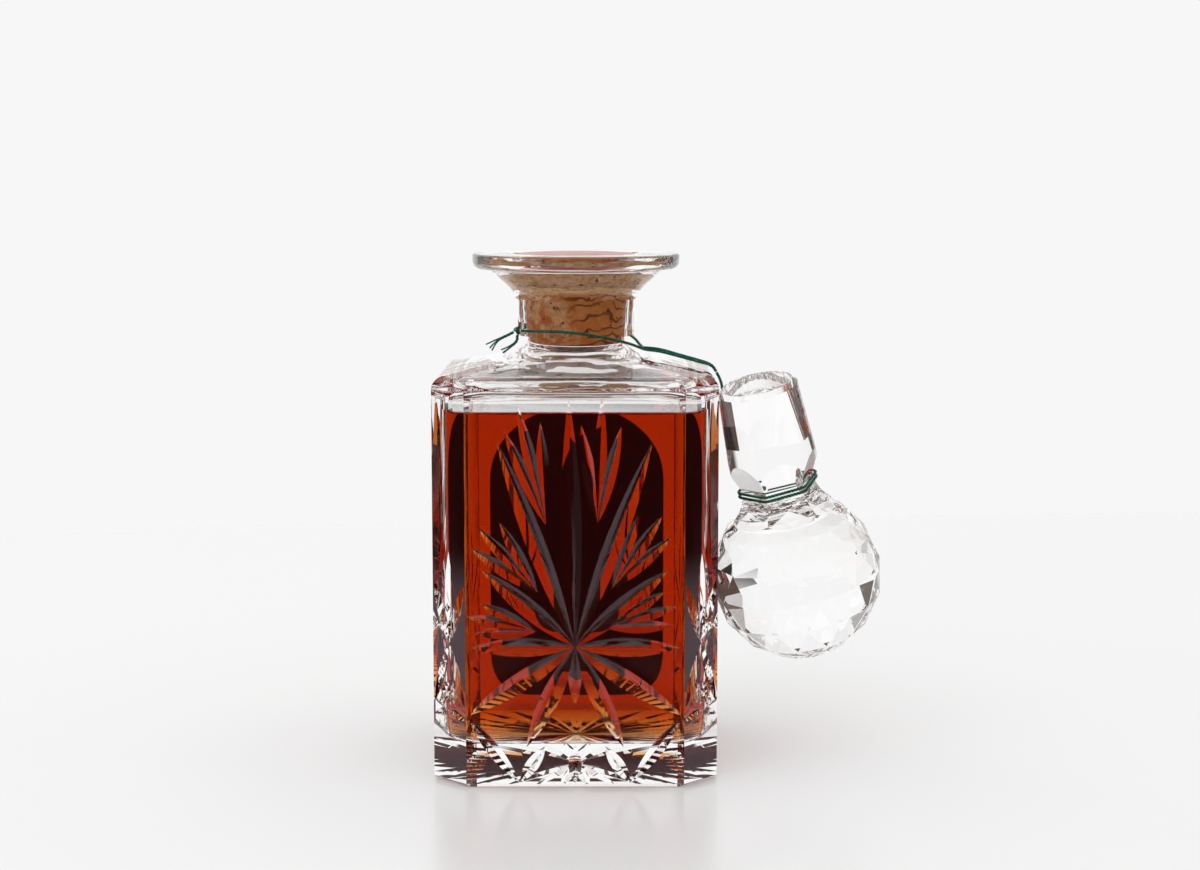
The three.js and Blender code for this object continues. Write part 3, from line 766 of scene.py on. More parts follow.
def face_frame(turn, distance):
    """A flat side of the body as a matrix: x to its right, y up it, z out of it."""
    angle = math.radians(turn)
    right = Vector((math.cos(angle), math.sin(angle), 0))
    outward = Vector((math.sin(angle), -math.cos(angle), 0))
    frame_of = Matrix((right, Vector((0, 0, 1)), outward)).transposed().to_4x4()
    return Matrix.Translation(outward * distance) @ frame_of


def groove(face, start, end, width, flank=FLANK):
    """The wheel's cut from one point of a face to another, a leaf with a V section."""
    start = Vector((*start, 0))
    run = Vector((*end, 0)) - start
    side = Vector((-run.y, run.x, 0)).normalized()
    depth = width / 2 * flank
    lead = (math.sqrt(1 + OVER / depth) - 1) / 2
    rings = []
    for i in range(STATIONS + 1):
        share = lerp(-lead, 1 + lead, lerp(0.004, 0.996, i / STATIONS))
        below = depth * 4 * share * (1 - share)
        half = (below + OVER) / flank
        centre = start + run * share
        ring = [centre + side * half, centre - side * half, centre]
        for point, height in zip(ring, (OVER, OVER, -below)):
            point.z = height
        rings.append([face @ point for point in ring])
    return skin(rings)


def polar(start, degrees, length):
    angle = math.radians(degrees)
    return (start[0] + length * math.sin(angle), start[1] + length * math.cos(angle))


# %% Where the grooves run
STAR = 47.5
RAY = 6.4
FAN_RAY = 4.4
STAR_RAYS = [(20.5, 72.6), (50, 40), (90.5, 34.5), (123.3, 42), (154.5, 37.5)]
# Each fan: the direction and distance of its root from the star, its lean and spread, its long and short rays
FANS = [
    (-13.1, 41.6, -13.3, 10.3, 41, 34), (10.4, 41.7, 2, 11.5, 42, 33),
    (-34, 21.8, -42, 14, 29.5, 26.5), (32.2, 23.1, 34, 14.5, 29.2, 26),
    (-68.7, 13.8, -77, 14.6, 23.6, 20.5), (57.9, 12, 73, 15, 24.4, 22.7),
]
ZIGZAG_HIGH = 23.5
ZIGZAG_MIDDLE = 14
ZIGZAG_LOW = 1.6
ZIGZAG_FOOT = 18.4
ZIGZAG_INNER = 9.8
CORNER_FACE = (2 * HALF - CORNER) / math.sqrt(2)
CORNER_RAY = 31
CORNER_REACH = 21
HATCH_MIDDLE = 31
HATCH_LEAN = 35
HATCH_PITCH = 2.3
HATCH_REACH = 6.5
HATCH = 1.7
NOTCH = 3.2
NOTCH_FLANK = math.tan(math.radians(19))
NOTCH_LEAN = math.radians(20)
NOTCH_ENDS = ((0, -4), (0, 10))
BASE_RAYS = 32
BASE_RAY = 4
BASE_INNER = 2
BASE_REACH = 0.93
BASE_FLANK = math.tan(math.radians(24))


def face_grooves(face):
    """The star, its fans and the zigzag under them, as on the front."""
    centre = (0, STAR)
    cuts = [
        groove(face, centre, polar(centre, -1.4, 83), RAY),
        groove(face, centre, polar(centre, 180, 19.6), FAN_RAY),
        groove(face, (0, ZIGZAG_MIDDLE), (0, ZIGZAG_LOW), FAN_RAY),
    ]
    for side in (-1, 1):
        for degrees, length in STAR_RAYS:
            cuts.append(groove(face, centre, polar(centre, side * degrees, length), RAY))
        edge = side * (HALF - CORNER - 0.8)
        foot = (side * ZIGZAG_FOOT, ZIGZAG_LOW)
        cuts.append(groove(face, (edge, ZIGZAG_HIGH), foot, FAN_RAY))
        cuts.append(groove(face, (side * ZIGZAG_INNER, ZIGZAG_MIDDLE), foot, FAN_RAY))
    for turn, out, lean, spread, long_ray, short_ray in FANS:
        root = polar(centre, turn, out)
        for step in (-1, 0, 1):
            length = short_ray if step else long_ray
            cuts.append(groove(face, root, polar(root, lean + step * spread, length), FAN_RAY))
    return cuts


def corner_grooves(face):
    """Crossing leaves on a cut corner, over a small hatched patch."""
    centre = (0, STAR)
    cuts = [groove(face, centre, (0, STAR + CORNER_RAY), FAN_RAY * 0.9)]
    for side in (-1, 1):
        edge = side * (CORNER / math.sqrt(2) - 0.5)
        cuts.append(groove(face, centre, (edge, STAR + CORNER_REACH), FAN_RAY * 0.9))
        cuts.append(groove(face, centre, (edge, STAR - CORNER_REACH), FAN_RAY * 0.8))
        cuts.append(groove(face, (edge, ZIGZAG_HIGH - 1), (0, ZIGZAG_HIGH + 1.5), FAN_RAY * 0.6))
        lean = side * HATCH_LEAN
        for step in (-1, 0, 1):
            middle = (step * HATCH_PITCH, HATCH_MIDDLE)
            reach = HATCH_REACH - abs(step)
            cuts.append(groove(face, polar(middle, lean + 180, reach), polar(middle, lean, reach), HATCH))
    return cuts


def notch_grooves():
    """Three cuts over the shoulder at each corner, one at each end of the cut corner and one between."""
    cuts = []
    for quarter in range(4):
        for x, y in ((HALF, HALF - CORNER), (HALF - CORNER / 2, HALF - CORNER / 2), (HALF - CORNER, HALF)):
            corner = Matrix.Rotation(quarter * math.pi / 2, 2) @ Vector((x, y))
            out = corner.normalized().to_3d()
            outward = out * math.sin(NOTCH_LEAN) + Vector((0, 0, math.cos(NOTCH_LEAN)))
            up = out * -math.cos(NOTCH_LEAN) + Vector((0, 0, math.sin(NOTCH_LEAN)))
            right = Vector((-out.y, out.x, 0))
            face = Matrix((right, up, outward)).transposed().to_4x4()
            place = out * (corner.length - SHOULDER_ROUND * 0.8) + Vector((0, 0, EDGE - 0.6))
            cuts.append(groove(Matrix.Translation(place) @ face, *NOTCH_ENDS, NOTCH, NOTCH_FLANK))
    return cuts


def base_grooves():
    """A star of wide shallow rays under the base, which stop just short of its sides."""
    face = Matrix(((1, 0, 0), (0, -1, 0), (0, 0, -1))).transposed().to_4x4()
    cuts = []
    for i in range(BASE_RAYS):
        degrees = (i + 0.5) * 360 / BASE_RAYS
        from_side = math.radians((degrees + 45) % 90 - 45)
        from_corner = math.radians(degrees % 90 - 45)
        edge = min(HALF / math.cos(from_side), CORNER_FACE / math.cos(from_corner))
        inner = polar((0, 0), degrees, BASE_INNER)
        outer = polar((0, 0), degrees, edge * BASE_REACH)
        cuts.append(groove(face, inner, outer, BASE_RAY, BASE_FLANK))
    return cuts


# %% Cut the body
def sets_of(*lists):
    """The first of each list, then the second of each, and so on, so that few cuts in a set meet."""
    for i in range(max(len(cuts) for cuts in lists)):
        yield [cuts[i] for cuts in lists if i < len(cuts)]


faces = [face_grooves(face_frame(turn, HALF)) for turn in (0, 90, 270)]
corners = [corner_grooves(face_frame(turn, CORNER_FACE)) for turn in (45, 135, 225, 315)]
notches = notch_grooves()
rays = base_grooves()
cut_sets = [*sets_of(*faces), *sets_of(*corners)]
cut_sets += [notches[i::3] for i in range(3)] + [rays[i::4] for i in range(4)]
print("cuts:", sum(len(cut_set) for cut_set in cut_sets), "in", len(cut_sets), "sets")
body = combine(blank_body(), blank_neck(), "UNION")
for cut_set in cut_sets:
    body = combine(body, merged(cut_set), "DIFFERENCE")
body = combine(body, hollow(), "DIFFERENCE")
print("cut body:", len(body.faces), "faces")

# %% [markdown]
# ## Glass and whisky in contact
# Where whisky touches glass there is one boundary, not two. A ray that goes from glass into whisky bends by
# the ratio of the two, about 1.36 to 1.55. Two skins in one place would flicker, so the glass wall below
# the level is left clear, and the whisky's skin, which lies just inside it, carries that ratio. Above the
# level the glass meets air and bends light as glass does. In the bore a film of whisky lies between glass
# and cork, so the ratio there is small too, and the cork shows as if it touched the glass. The colour of
# whisky deepens with the way that light takes through it, so it comes from an absorbing volume and not from
# paint on the skin.

# %% Glass, wetted glass and whisky
GLASS_IOR = 1.55
WHISKY_IOR = 1.36


def let_light_past(recipe, shader, share):
    """Lets shadow rays through, because the light that glass bends is not traced back to the lamps."""
    clear = recipe.node("ShaderNodeBsdfTransparent", None, {"Color": (share, share, share, 1)})
    return recipe.mix_shaders(recipe.ray("Is Shadow Ray"), shader, clear)


def clear_boundary(recipe, ratio, inputs=None):
    """A polished boundary between two clear things, which bends light by their ratio."""
    shared = {"Base Color": (1, 1, 1, 1), "Roughness": 0, "IOR": ratio, "Transmission Weight": 1}
    return recipe.surface({**shared, **(inputs or {})})


def glass_material(name, rippled_from=None):
    """Clear glass. Above the given height it keeps the soft waves of glass that was never ground."""
    recipe = new_recipe(name)
    inputs = {}
    if rippled_from:
        waves = recipe.noise(place_in_mm(recipe, (0.07, 0.07, 0.2)), 1, 1)
        unground = recipe.step(recipe.along("Z", place_in_mm(recipe)), rippled_from, rippled_from + 2)
        inputs["Normal"] = recipe.bump(1, 0.0007, waves * unground)
    return recipe.finish(let_light_past(recipe, clear_boundary(recipe, GLASS_IOR, inputs), 0.96))


def wetted_material():
    """The wall below the level, left clear because the whisky's skin does its work."""
    recipe = new_recipe("wetted_glass")
    return recipe.finish(recipe.node("ShaderNodeBsdfTransparent"))


def damp_material():
    """The bore, where a film of whisky lies between the glass and the cork."""
    recipe = new_recipe("damp_glass")
    return recipe.finish(let_light_past(recipe, clear_boundary(recipe, GLASS_IOR / WHISKY_IOR), 0.97))


def whisky_material():
    recipe = new_recipe("whisky")
    wall = clear_boundary(recipe, WHISKY_IOR / GLASS_IOR)
    open_top = clear_boundary(recipe, WHISKY_IOR)
    height = recipe.along("Z", place_in_mm(recipe))
    up = recipe.along("Z", recipe.node("ShaderNodeNewGeometry", output="True Normal"))
    level_face = (up * up > 0.02) * (height > LEVEL - 3)
    skin_of_whisky = recipe.mix_shaders(level_face, wall, open_top)
    amber = {"Color": (0.875, 0.5, 0.0, 1), "Density": 100}
    volume = recipe.node("ShaderNodeVolumeAbsorption", None, amber)
    return recipe.finish(let_light_past(recipe, skin_of_whisky, 0.9), volume)


clear_glass = glass_material("crystal_glass")
blown_glass = glass_material("blown_crystal_glass", WALL_TOP)


# %% Fill the hollow with whisky
def is_inside(face):
    """Whether a face belongs to the hollow and not to the outside of the body."""
    middle = face.calc_center_median()
    across = max(abs(middle.x), abs(middle.y))
    cornerwise = abs(middle.x) + abs(middle.y)
    return across < CAVITY + 1 and cornerwise < 2 * CAVITY - CAVITY_CORNER * (2 - math.sqrt(2)) + 1


def is_wetted(face):
    return is_inside(face) and FLOOR - 1 < face.calc_center_median().z < LEVEL


def is_bore(face):
    middle = face.calc_center_median()
    return CORK_LOW < middle.z < BORE_TOP and middle.xy.length < BORE_HIGH_RADIUS + 1


SKIN_GAP = 0.02
# Each step in from the glass, and how far the whisky's surface drops there from where it clings
MENISCUS = ((0.35, -0.5), (0.5, -0.28), (0.8, -0.14))

hollow_faces = [face for face in body.faces if is_inside(face)]
hollow_parts = set(hollow_faces)
for face in hollow_faces:
    hollow_parts.update(face.edges)
    hollow_parts.update(face.verts)
bmesh.ops.bisect_plane(body, geom=list(hollow_parts), plane_co=(0, 0, LEVEL), plane_no=(0, 0, 1), dist=1e-4)
whisky_mesh = body.copy()
for face in body.faces:
    face.material_index = 1 if is_wetted(face) else 2 if is_bore(face) else 0
dry = [face for face in whisky_mesh.faces if not is_wetted(face)]
bmesh.ops.delete(whisky_mesh, geom=dry, context="FACES")
bmesh.ops.reverse_faces(whisky_mesh, faces=list(whisky_mesh.faces))
rim_edges = [edge for edge in whisky_mesh.edges if edge.is_boundary]
surface = bmesh.ops.edgeloop_fill(whisky_mesh, edges=rim_edges)["faces"]
for width, fall in MENISCUS:
    bmesh.ops.inset_region(whisky_mesh, faces=surface, thickness=width, depth=0, use_even_offset=True)
    lowered = list({vert for face in surface for vert in face.verts})
    bmesh.ops.translate(whisky_mesh, vec=(0, 0, fall), verts=lowered)
print("open edges left in the whisky:", sum(edge.is_boundary for edge in whisky_mesh.edges))
bmesh.ops.recalc_face_normals(whisky_mesh, faces=list(whisky_mesh.faces))
shrink = (CAVITY - SKIN_GAP) / CAVITY
bmesh.ops.scale(whisky_mesh, vec=(shrink, shrink, 1), verts=list(whisky_mesh.verts))
for vert in whisky_mesh.verts:
    vert.co.z = max(vert.co.z, FLOOR + SKIN_GAP)
glass_finishes = [blown_glass, wetted_material(), damp_material()]
glass_body = piece("cut_glass_body", body, glass_finishes, 12, "decanter", ["glass_body"])
piece("whisky_fill", whisky_mesh, [whisky_material()], 30, "decanter", ["whisky"])


def weigh_normals(obj):
    """Lets the large flat faces set the shading where they meet narrow rounded ones."""
    change = obj.modifiers.new("weighted_normals", "WEIGHTED_NORMAL")
    change.keep_sharp = True


weigh_normals(glass_body)

# %% [markdown]
# ## Cork
# The cork is pressed into the ground bore, and shows through the glass. Its stem is natural bark, orange
# brown with rusty blotches, small pits and dark veins that run round one side. Its head is pressed from
# pale granules. A photograph of cork would repeat and couldn't change along the plug, so noise in Object
# coordinates lays the bark, a wave texture bent by noise draws the veins, and a step in height changes the
# bark to granules.

# %% Cork
CONTACT = 0.03
BARK = [
    (0.32, (0.36, 0.08, 0.014)), (0.44, (0.56, 0.20, 0.06)),
    (0.54, (0.74, 0.37, 0.16)), (0.68, (0.85, 0.53, 0.29)),
]
GRANULES = [(0.2, (0.52, 0.24, 0.1)), (0.5, (0.84, 0.5, 0.26)), (0.8, (0.95, 0.72, 0.48))]
RUST = (0.6, 0.13, 0.02, 1)
AMBER = (0.66, 0.19, 0.014, 1)
VEIN_WAVE = {"Scale": 0.09, "Distortion": 2.2, "Detail": 1, "Detail Scale": 0.5, "Phase Offset": 1.2}
VEIN = (0.17, 0.035, 0.003, 1)
PIT = (0.07, 0.02, 0.02, 1)


def bark_colour(recipe, place, bent, grain):
    """Natural bark: rusty blotches all over, and amber with dark veins round its right side."""
    rusty = recipe.step(recipe.noise(place, 0.17, 3), 0.5, 0.6)
    stained = recipe.blend(rusty * 0.85, recipe.ramp(grain, BARK), RUST)
    veins = recipe.node("ShaderNodeTexWave", {"bands_direction": "Z"}, {"Vector": bent, **VEIN_WAVE}, "Fac")
    veined = recipe.step(recipe.along("X", bent), 0, 8)
    amber = recipe.blend(veined * 0.75, stained, AMBER)
    return recipe.blend(recipe.step(veins, 0.2, 0.04) * veined * 0.9, amber, VEIN)


def granule_colour(recipe, place):
    """Pressed granules, drawn out in streaks by the press."""
    grains = recipe.node("ShaderNodeTexVoronoi", None, {"Vector": place, "Scale": 1.1}, "Color")
    tone = recipe.node("ShaderNodeSeparateColor", None, {0: grains})
    streaks = recipe.noise(place_in_mm(recipe, (0.15, 0.15, 1.1)), 1, 4)
    return recipe.ramp(tone * 0.3 + streaks * 0.9 - 0.1, GRANULES)


def cork_material():
    """Natural bark below, and pressed granules in the head."""
    recipe = new_recipe("cork_bark")
    place = place_in_mm(recipe)
    warp = recipe.noise(place, 0.11, 2, output="Color")
    bend = {0: warp, 1: (13, 13, 13), 2: place}
    bent = recipe.node("ShaderNodeVectorMath", {"operation": "MULTIPLY_ADD"}, bend)
    grain = recipe.noise(bent, 0.4, 7, 0.7)
    head = recipe.step(recipe.along("Z", place), BORE_TOP - 5, BORE_TOP - 3)
    body_colour = recipe.blend(head, bark_colour(recipe, place, bent, grain), granule_colour(recipe, place))
    pits = recipe.node("ShaderNodeTexVoronoi", None, {"Vector": place, "Scale": 0.3}, "Distance")
    colour = recipe.blend((pits < 0.16) * 0.8, body_colour, PIT)
    bump = recipe.bump(0.5, 0.0003, grain)
    return recipe.finish(recipe.surface({"Base Color": colour, "Roughness": 0.75, "Normal": bump}))


def cork_mesh():
    """A tapered plug, pressed flat against the bore, with a head that fills the mouth."""
    profile = [(0, CORK_LOW), (BORE_LOW_RADIUS - 0.8, CORK_LOW)]
    for i in range(ROUND_STEPS + 1):
        height = lerp(CORK_LOW + 0.8, BORE_TOP, i / ROUND_STEPS)
        share = (height - CORK_LOW) / (BORE_TOP - CORK_LOW)
        profile.append((lerp(BORE_LOW_RADIUS, BORE_HIGH_RADIUS, share) - CONTACT, height))
    top = RIM - WAX_DEPTH
    profile += [(BORE_HIGH_RADIUS + CONTACT, BORE_TOP + 0.02), (SEAT_RADIUS + CONTACT, BORE_TOP + SEAT_RISE)]
    profile += [(HEAD_RADIUS + CONTACT, top), (0, top)]
    return spin(profile)


piece("natural_cork", cork_mesh(), [cork_material()], 40, "cork", ["cork"])

# %% [markdown]
# ## Wax
# Pinkish red wax was melted and poured over the cork's head. It ran to the glass, pulled back a little
# there as it cooled, and set with a slightly domed top. A spun profile gives that shape. Wax is soft and
# cloudy, so two noises cloud its colour and roll its surface, under a gloss that isn't sharp.

# %% Wax
def wax_material():
    recipe = new_recipe("sealing_wax")
    place = place_in_mm(recipe)
    cloud = recipe.noise(place, 0.18, 4, 0.6)
    fine = recipe.noise(place, 1.4, 3)
    colour = recipe.ramp(cloud, [(0.35, (0.52, 0.20, 0.18)), (0.65, (0.66, 0.33, 0.30))])
    bump = recipe.bump(0.35, 0.0004, cloud + fine * 0.3)
    return recipe.finish(recipe.surface({"Base Color": colour, "Roughness": 0.38, "Normal": bump}))


def wax_mesh():
    low = RIM - WAX_DEPTH + 0.02
    return spin([
        (0, low), (HEAD_RADIUS + CONTACT, low), (MOUTH_RADIUS - 0.9, RIM - 1),
        (MOUTH_RADIUS - 1.7, RIM - 0.5), (MOUTH_RADIUS * 0.85, RIM), (MOUTH_RADIUS * 0.6, RIM + 0.35),
        (MOUTH_RADIUS * 0.3, RIM + 0.5), (0, RIM + 0.55),
    ])


piece("poured_wax", wax_mesh(), [wax_material()], 50, "cork", ["wax_seal"])

# %% [markdown]
# ## Label
# A paper label is glued to the back, with a round arch above. From the front only its inner side shows, as
# a dark shape through the whisky, so its two sides have two colours. One prism carries both, and the depth
# of a point tells the sides apart.

# %% Label
LABEL_HALF = 31.3
LABEL_LOW = 14
LABEL_SPRING = 93
LABEL_TOP = 120
LABEL_CORNER = 17
LABEL_SUNK = 0.05
LABEL_THICK = 0.45
PAPER = [(0.3, (0.72, 0.67, 0.55)), (0.7, (0.80, 0.76, 0.65))]
INNER_PAPER = [(0.3, (0.16, 0.1, 0.07)), (0.7, (0.21, 0.13, 0.09))]


def label_outline():
    """Straight sides, a round arch above and round corners below."""
    right = []
    for i in range(17):
        t = i / 16
        bend, before, after = 2 * t * (1 - t), (1 - t) ** 2, t * t
        x = bend * LABEL_HALF + before * (LABEL_HALF - LABEL_CORNER) + after * LABEL_HALF
        right.append((x, bend * LABEL_LOW + before * LABEL_LOW + after * (LABEL_LOW + LABEL_CORNER)))
    for i in range(25):
        angle = i / 24 * math.pi / 2
        rise = LABEL_TOP - LABEL_SPRING
        right.append((LABEL_HALF * math.cos(angle), LABEL_SPRING + rise * math.sin(angle)))
    left = [(-x, z) for x, z in reversed(right[:-1])]
    return right + left


def label_material():
    recipe = new_recipe("label_paper")
    place = place_in_mm(recipe)
    fibre = recipe.noise(place, 1.2, 6)
    outside = recipe.along("Y", place) > HALF + LABEL_SUNK
    colour = recipe.blend(outside, recipe.ramp(fibre, INNER_PAPER), recipe.ramp(fibre, PAPER))
    bump = recipe.bump(0.2, 0.0001, fibre)
    return recipe.finish(recipe.surface({"Base Color": colour, "Roughness": 0.85, "Normal": bump}))


sheet = prism([(x, HALF - LABEL_SUNK, z) for x, z in label_outline()], LABEL_THICK)
piece("back_label_paper", sheet, [label_material()], 40, "decanter", ["back_label"])

# %% [markdown]
# ## The ball stopper
# The stopper is one piece of glass. A wheel with a flat face grinds the ball's facets in rows, each row
# turned half a facet from the last, so it is the hull of rows of points. Six hollow flutes shape the neck,
# and the peg above it is ground to fit the bore.

# %% Stopper
BALL_RADIUS = 29.6
FACETS = 14
ROW = 21
POLE_ROW = 4
FLUTE_RADIUS = 12.5
FLUTE_DEPTH = 3.8
FLUTE_SIDES = 6
FLUTE_HALF = 18
FLUTE_TAIL = 5.6
PEG_LOW = 45
PEG_HIGH = 71
PEG_LOW_RADIUS = 15.3
PEG_HIGH_RADIUS = 13.8
PEG_CHAMFER = 1.6
STEM_RADIUS = 18.6
STEM_SUNK = 5


def ball_mesh():
    bm = bmesh.new()
    for row in range(-POLE_ROW, POLE_ROW + 1):
        latitude = math.radians(row * ROW)
        count = FACETS // 2 if abs(row) == POLE_ROW else FACETS
        for i in range(count):
            around = (i + (row % 2) / 2) / count * 2 * math.pi
            ring = BALL_RADIUS * math.cos(latitude)
            bm.verts.new((ring * math.cos(around), ring * math.sin(around), BALL_RADIUS * math.sin(latitude)))
    bmesh.ops.convex_hull(bm, input=list(bm.verts))
    return bm


def flute_mesh(turn):
    """The wheel that grinds one hollow flute, up the neck and out under the peg."""
    centre = NECK_FLAT + FLUTE_RADIUS
    angle = math.degrees(math.acos(1 - FLUTE_DEPTH / FLUTE_RADIUS))
    above = PEG_LOW + 1.8
    profile = arc(centre, NECK_HEIGHT, FLUTE_RADIUS, 180 + angle, 180, 16)
    profile += [(NECK_FLAT, NECK_HEIGHT + 1.4), (PEG_LOW_RADIUS + 0.4, above), (centre, above)]
    profile += [(centre, NECK_HEIGHT - FLUTE_RADIUS * math.sin(math.radians(angle)) - FLUTE_TAIL)]
    bm = prism([(radius, -FLUTE_HALF, height) for radius, height in profile], 2 * FLUTE_HALF)
    verts = list(bm.verts)
    low = min(vert.co.y for vert in verts)
    bmesh.ops.translate(bm, vec=(0, -FLUTE_HALF - low, 0), verts=verts)
    bmesh.ops.rotate(bm, cent=(0, 0, 0), matrix=Matrix.Rotation(math.radians(turn), 3, "Z"), verts=verts)
    return bm


def stopper_mesh():
    start = math.sqrt(BALL_RADIUS**2 - STEM_RADIUS**2) - STEM_SUNK
    stem = spin([
        (0, start), (STEM_RADIUS, start),
        (lerp(STEM_RADIUS, PEG_LOW_RADIUS, 0.4), lerp(start, NECK_HEIGHT, 0.45)),
        (PEG_LOW_RADIUS - 0.3, NECK_HEIGHT), (PEG_LOW_RADIUS, PEG_LOW - 2), (PEG_LOW_RADIUS, PEG_LOW),
        (PEG_HIGH_RADIUS, PEG_HIGH - PEG_CHAMFER), (PEG_HIGH_RADIUS - PEG_CHAMFER, PEG_HIGH), (0, PEG_HIGH),
    ], 128)
    bm = combine(ball_mesh(), stem, "UNION")
    for i in range(FLUTE_SIDES):
        bm = combine(bm, flute_mesh(NECK_TURN + i * 360 / FLUTE_SIDES), "DIFFERENCE")
    bmesh.ops.transform(bm, matrix=HANG, verts=list(bm.verts))
    return bm


stopper = piece("ball_stopper", stopper_mesh(), [clear_glass], 4, "stopper", ["glass_stopper"])
weigh_normals(stopper)

# %% [markdown]
# ## Table and wall
# The decanter stands on a satin white table in front of a white wall. Clear glass has no colour of its own
# and shows only what it bends and mirrors, so what lies round it matters as much as its shape. A white
# table without end would leave the glass without edges. So the camera sees a plain satin table, and rays
# that come through the glass or off it see one that ends in the dark, as a real one does. In what glass
# mirrors, the table also has a painted dark patch just in front of the decanter and a painted mauve sheen.

# %% Table and wall
TABLE_WHITE = (0.95, 0.95, 0.95, 1)
# Where glass mirrors the table it is tinted mauve: a painted sheen on the cut flanks
PAINTED_MAUVE_SHEEN = (1, 0.88, 0.98, 1)
DARK = (0.03, 0.03, 0.03, 1)
SEEN_WHITE = (0.93, 0.93, 0.93, 1)
FULL_WHITE = (1, 1, 1, 1)
# Where each change starts and ends, in metres from the decanter's axis
FRONT_END = (-0.16, -0.25)
SIDE_END = (0.3, 0.5)
# A painted dark patch just in front of the decanter, seen only where glass mirrors the table
DARK_PATCH_FRONT = (-0.07, -0.1)
DARK_PATCH_SIDE = (0.12, 0.08)


def table_material():
    """Satin white to the camera. Glass sees it matt, dark where the real table would have ended, and in
    mirrors with a painted mauve sheen and a painted dark patch in front.
    """
    recipe = new_recipe("white_table")
    place = recipe.node("ShaderNodeTexCoord", output="Object")
    y = recipe.along("Y", place)
    across = recipe.size(recipe.along("X", place))
    through = recipe.ray("Is Transmission Ray")
    mirrored = recipe.ray("Is Glossy Ray") * (1 - through) * (y < 0)
    ended = recipe.larger(recipe.step(y, *FRONT_END), recipe.step(across, *SIDE_END))
    # A painted dark patch in what glass mirrors, just in front of the decanter, joined to where the table
    # ends
    painted_dark_patch = recipe.step(y, *DARK_PATCH_FRONT) * recipe.step(across, *DARK_PATCH_SIDE)
    ended_or_dark_patch = recipe.larger(ended, mirrored * painted_dark_patch)
    # The table as glass mirrors it gets the painted mauve sheen
    colour = recipe.blend(ended_or_dark_patch, recipe.blend(mirrored, TABLE_WHITE, PAINTED_MAUVE_SHEEN), DARK)
    matt = recipe.node("ShaderNodeBsdfDiffuse", None, {"Color": colour})
    # Light that glass gathers on the table isn't traced, so a little glow stands for it, most under the body
    under = (across < HALF * MM) * (recipe.size(y) < HALF * MM)
    glow = through * (1 - ended_or_dark_patch) * (under * 0.6 + 0.13)
    lift = recipe.node("ShaderNodeEmission", None, {"Color": FULL_WHITE, "Strength": glow})
    lit = recipe.node("ShaderNodeAddShader", None, {0: matt, 1: lift})
    satin = recipe.surface({"Base Color": SEEN_WHITE, "Roughness": 0.22, "IOR": 1.45})
    return recipe.finish(recipe.mix_shaders(recipe.ray("Is Camera Ray"), lit, satin))


def wall_material():
    recipe = new_recipe("white_wall")
    colour = recipe.blend(recipe.ray("Is Camera Ray"), FULL_WHITE, SEEN_WHITE)
    return recipe.finish(recipe.node("ShaderNodeEmission", None, {"Color": colour, "Strength": 1}))


def flat_stage(name, corners, material):
    bm = bmesh.new()
    bm.faces.new([bm.verts.new(corner) for corner in corners])
    made = holder(name, bm)
    made.data.materials.append(material)
    return made


TABLE_REACH = 3
TABLE_EDGE = 0.505
TABLE_SKEW = 0.095
TABLE_GAP = 0.00015
WALL_AWAY = 1.6
WALL_SIDE = 1.4
WALL_LOW = -1
flat_stage("table", [
    (-TABLE_REACH, -TABLE_REACH, -TABLE_GAP), (TABLE_REACH, -TABLE_REACH, -TABLE_GAP),
    (TABLE_REACH, TABLE_EDGE + TABLE_REACH * TABLE_SKEW, -TABLE_GAP),
    (-TABLE_REACH, TABLE_EDGE - TABLE_REACH * TABLE_SKEW, -TABLE_GAP),
], table_material())
flat_stage("wall", [
    (-WALL_SIDE, WALL_AWAY, WALL_LOW), (WALL_SIDE, WALL_AWAY, WALL_LOW),
    (WALL_SIDE, WALL_AWAY, WALL_SIDE), (-WALL_SIDE, WALL_AWAY, WALL_SIDE),
], wall_material())

# %% [markdown]
# ## The room's light
# The light is even and soft, with one large lamp at the upper left. A glass worker photographs clear glass
# against one bright window in a dark room, because the window fills the middle of the glass and the room
# draws its edges. The world does the same: what glass mirrors and bends is bright only high up behind the
# decanter, and a warm dark elsewhere, while every other surface gets plain even light.

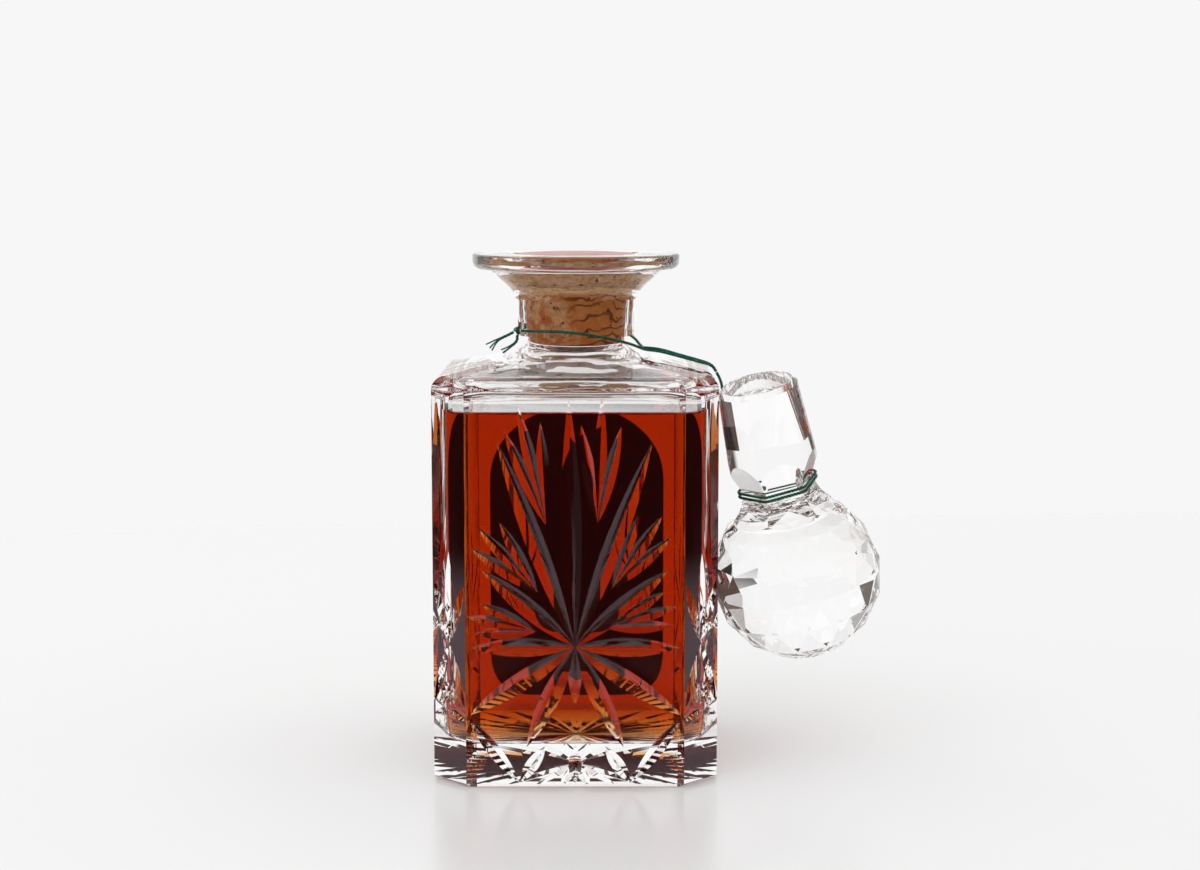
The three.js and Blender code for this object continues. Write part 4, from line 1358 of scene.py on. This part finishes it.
# %% World and lamp
BACKDROP_AIM = (0, 0.9, 0.436)
BACKDROP_LOW = 0.62
BACKDROP_HIGH = 0.76
ROOM = (0.1, 0.075, 0.06, 1)
EVEN_LIGHT = (0.87, 0.87, 0.87, 1)
LAMP_PLACE = Vector((-0.75, -0.7, 1.35))
LAMP_AIM = Vector((0, 0, 0.08))
LAMP_WIDTH = 0.8
LAMP_POWER = 3.5


def studio_world():
    """Even light on every surface, and a bright backdrop in a dark room for what glass reflects and bends."""
    world = bpy.data.worlds.new("studio")
    bpy.context.scene.world = world
    recipe = Recipe(world)
    direction = recipe.node("ShaderNodeTexCoord", output="Generated")
    towards = {0: direction, 1: BACKDROP_AIM}
    raised = recipe.node("ShaderNodeVectorMath", {"operation": "DOT_PRODUCT"}, towards, "Value")
    room = recipe.blend(recipe.step(raised, BACKDROP_LOW, BACKDROP_HIGH), ROOM, FULL_WHITE)
    by_glass = recipe.larger(recipe.ray("Is Glossy Ray"), recipe.ray("Is Transmission Ray"))
    in_glass = by_glass * (recipe.ray("Diffuse Depth") < 1)
    plain = recipe.blend(recipe.ray("Is Camera Ray"), EVEN_LIGHT, SEEN_WHITE)
    colour = recipe.blend(in_glass, plain, room)
    return recipe.finish(recipe.node("ShaderNodeBackground", None, {"Color": colour, "Strength": 1}))


studio_world()

# Light goes back and forth between the facets many times before it leaves
cycles = bpy.context.scene.cycles
cycles.max_bounces = 32
cycles.glossy_bounces = 24
cycles.transmission_bounces = 32
cycles.transparent_max_bounces = 32

light = bpy.data.lights.new("key", "AREA")
light.shape = "SQUARE"
light.size = LAMP_WIDTH
light.energy = LAMP_POWER
lamp = bpy.data.objects.new("key", light)
lamp.location = LAMP_PLACE
lamp.rotation_euler = (LAMP_AIM - LAMP_PLACE).to_track_quat("-Z", "Y").to_euler()
lamp.visible_glossy = False
lamp.visible_transmission = False
bpy.context.scene.collection.objects.link(lamp)
print("lamp in metres from its aim:", round((LAMP_AIM - LAMP_PLACE).length, 2))

# %% [markdown]
# ## The last line
# A finished piece has to stay about where its plain solid was.

# %% The last line
import json
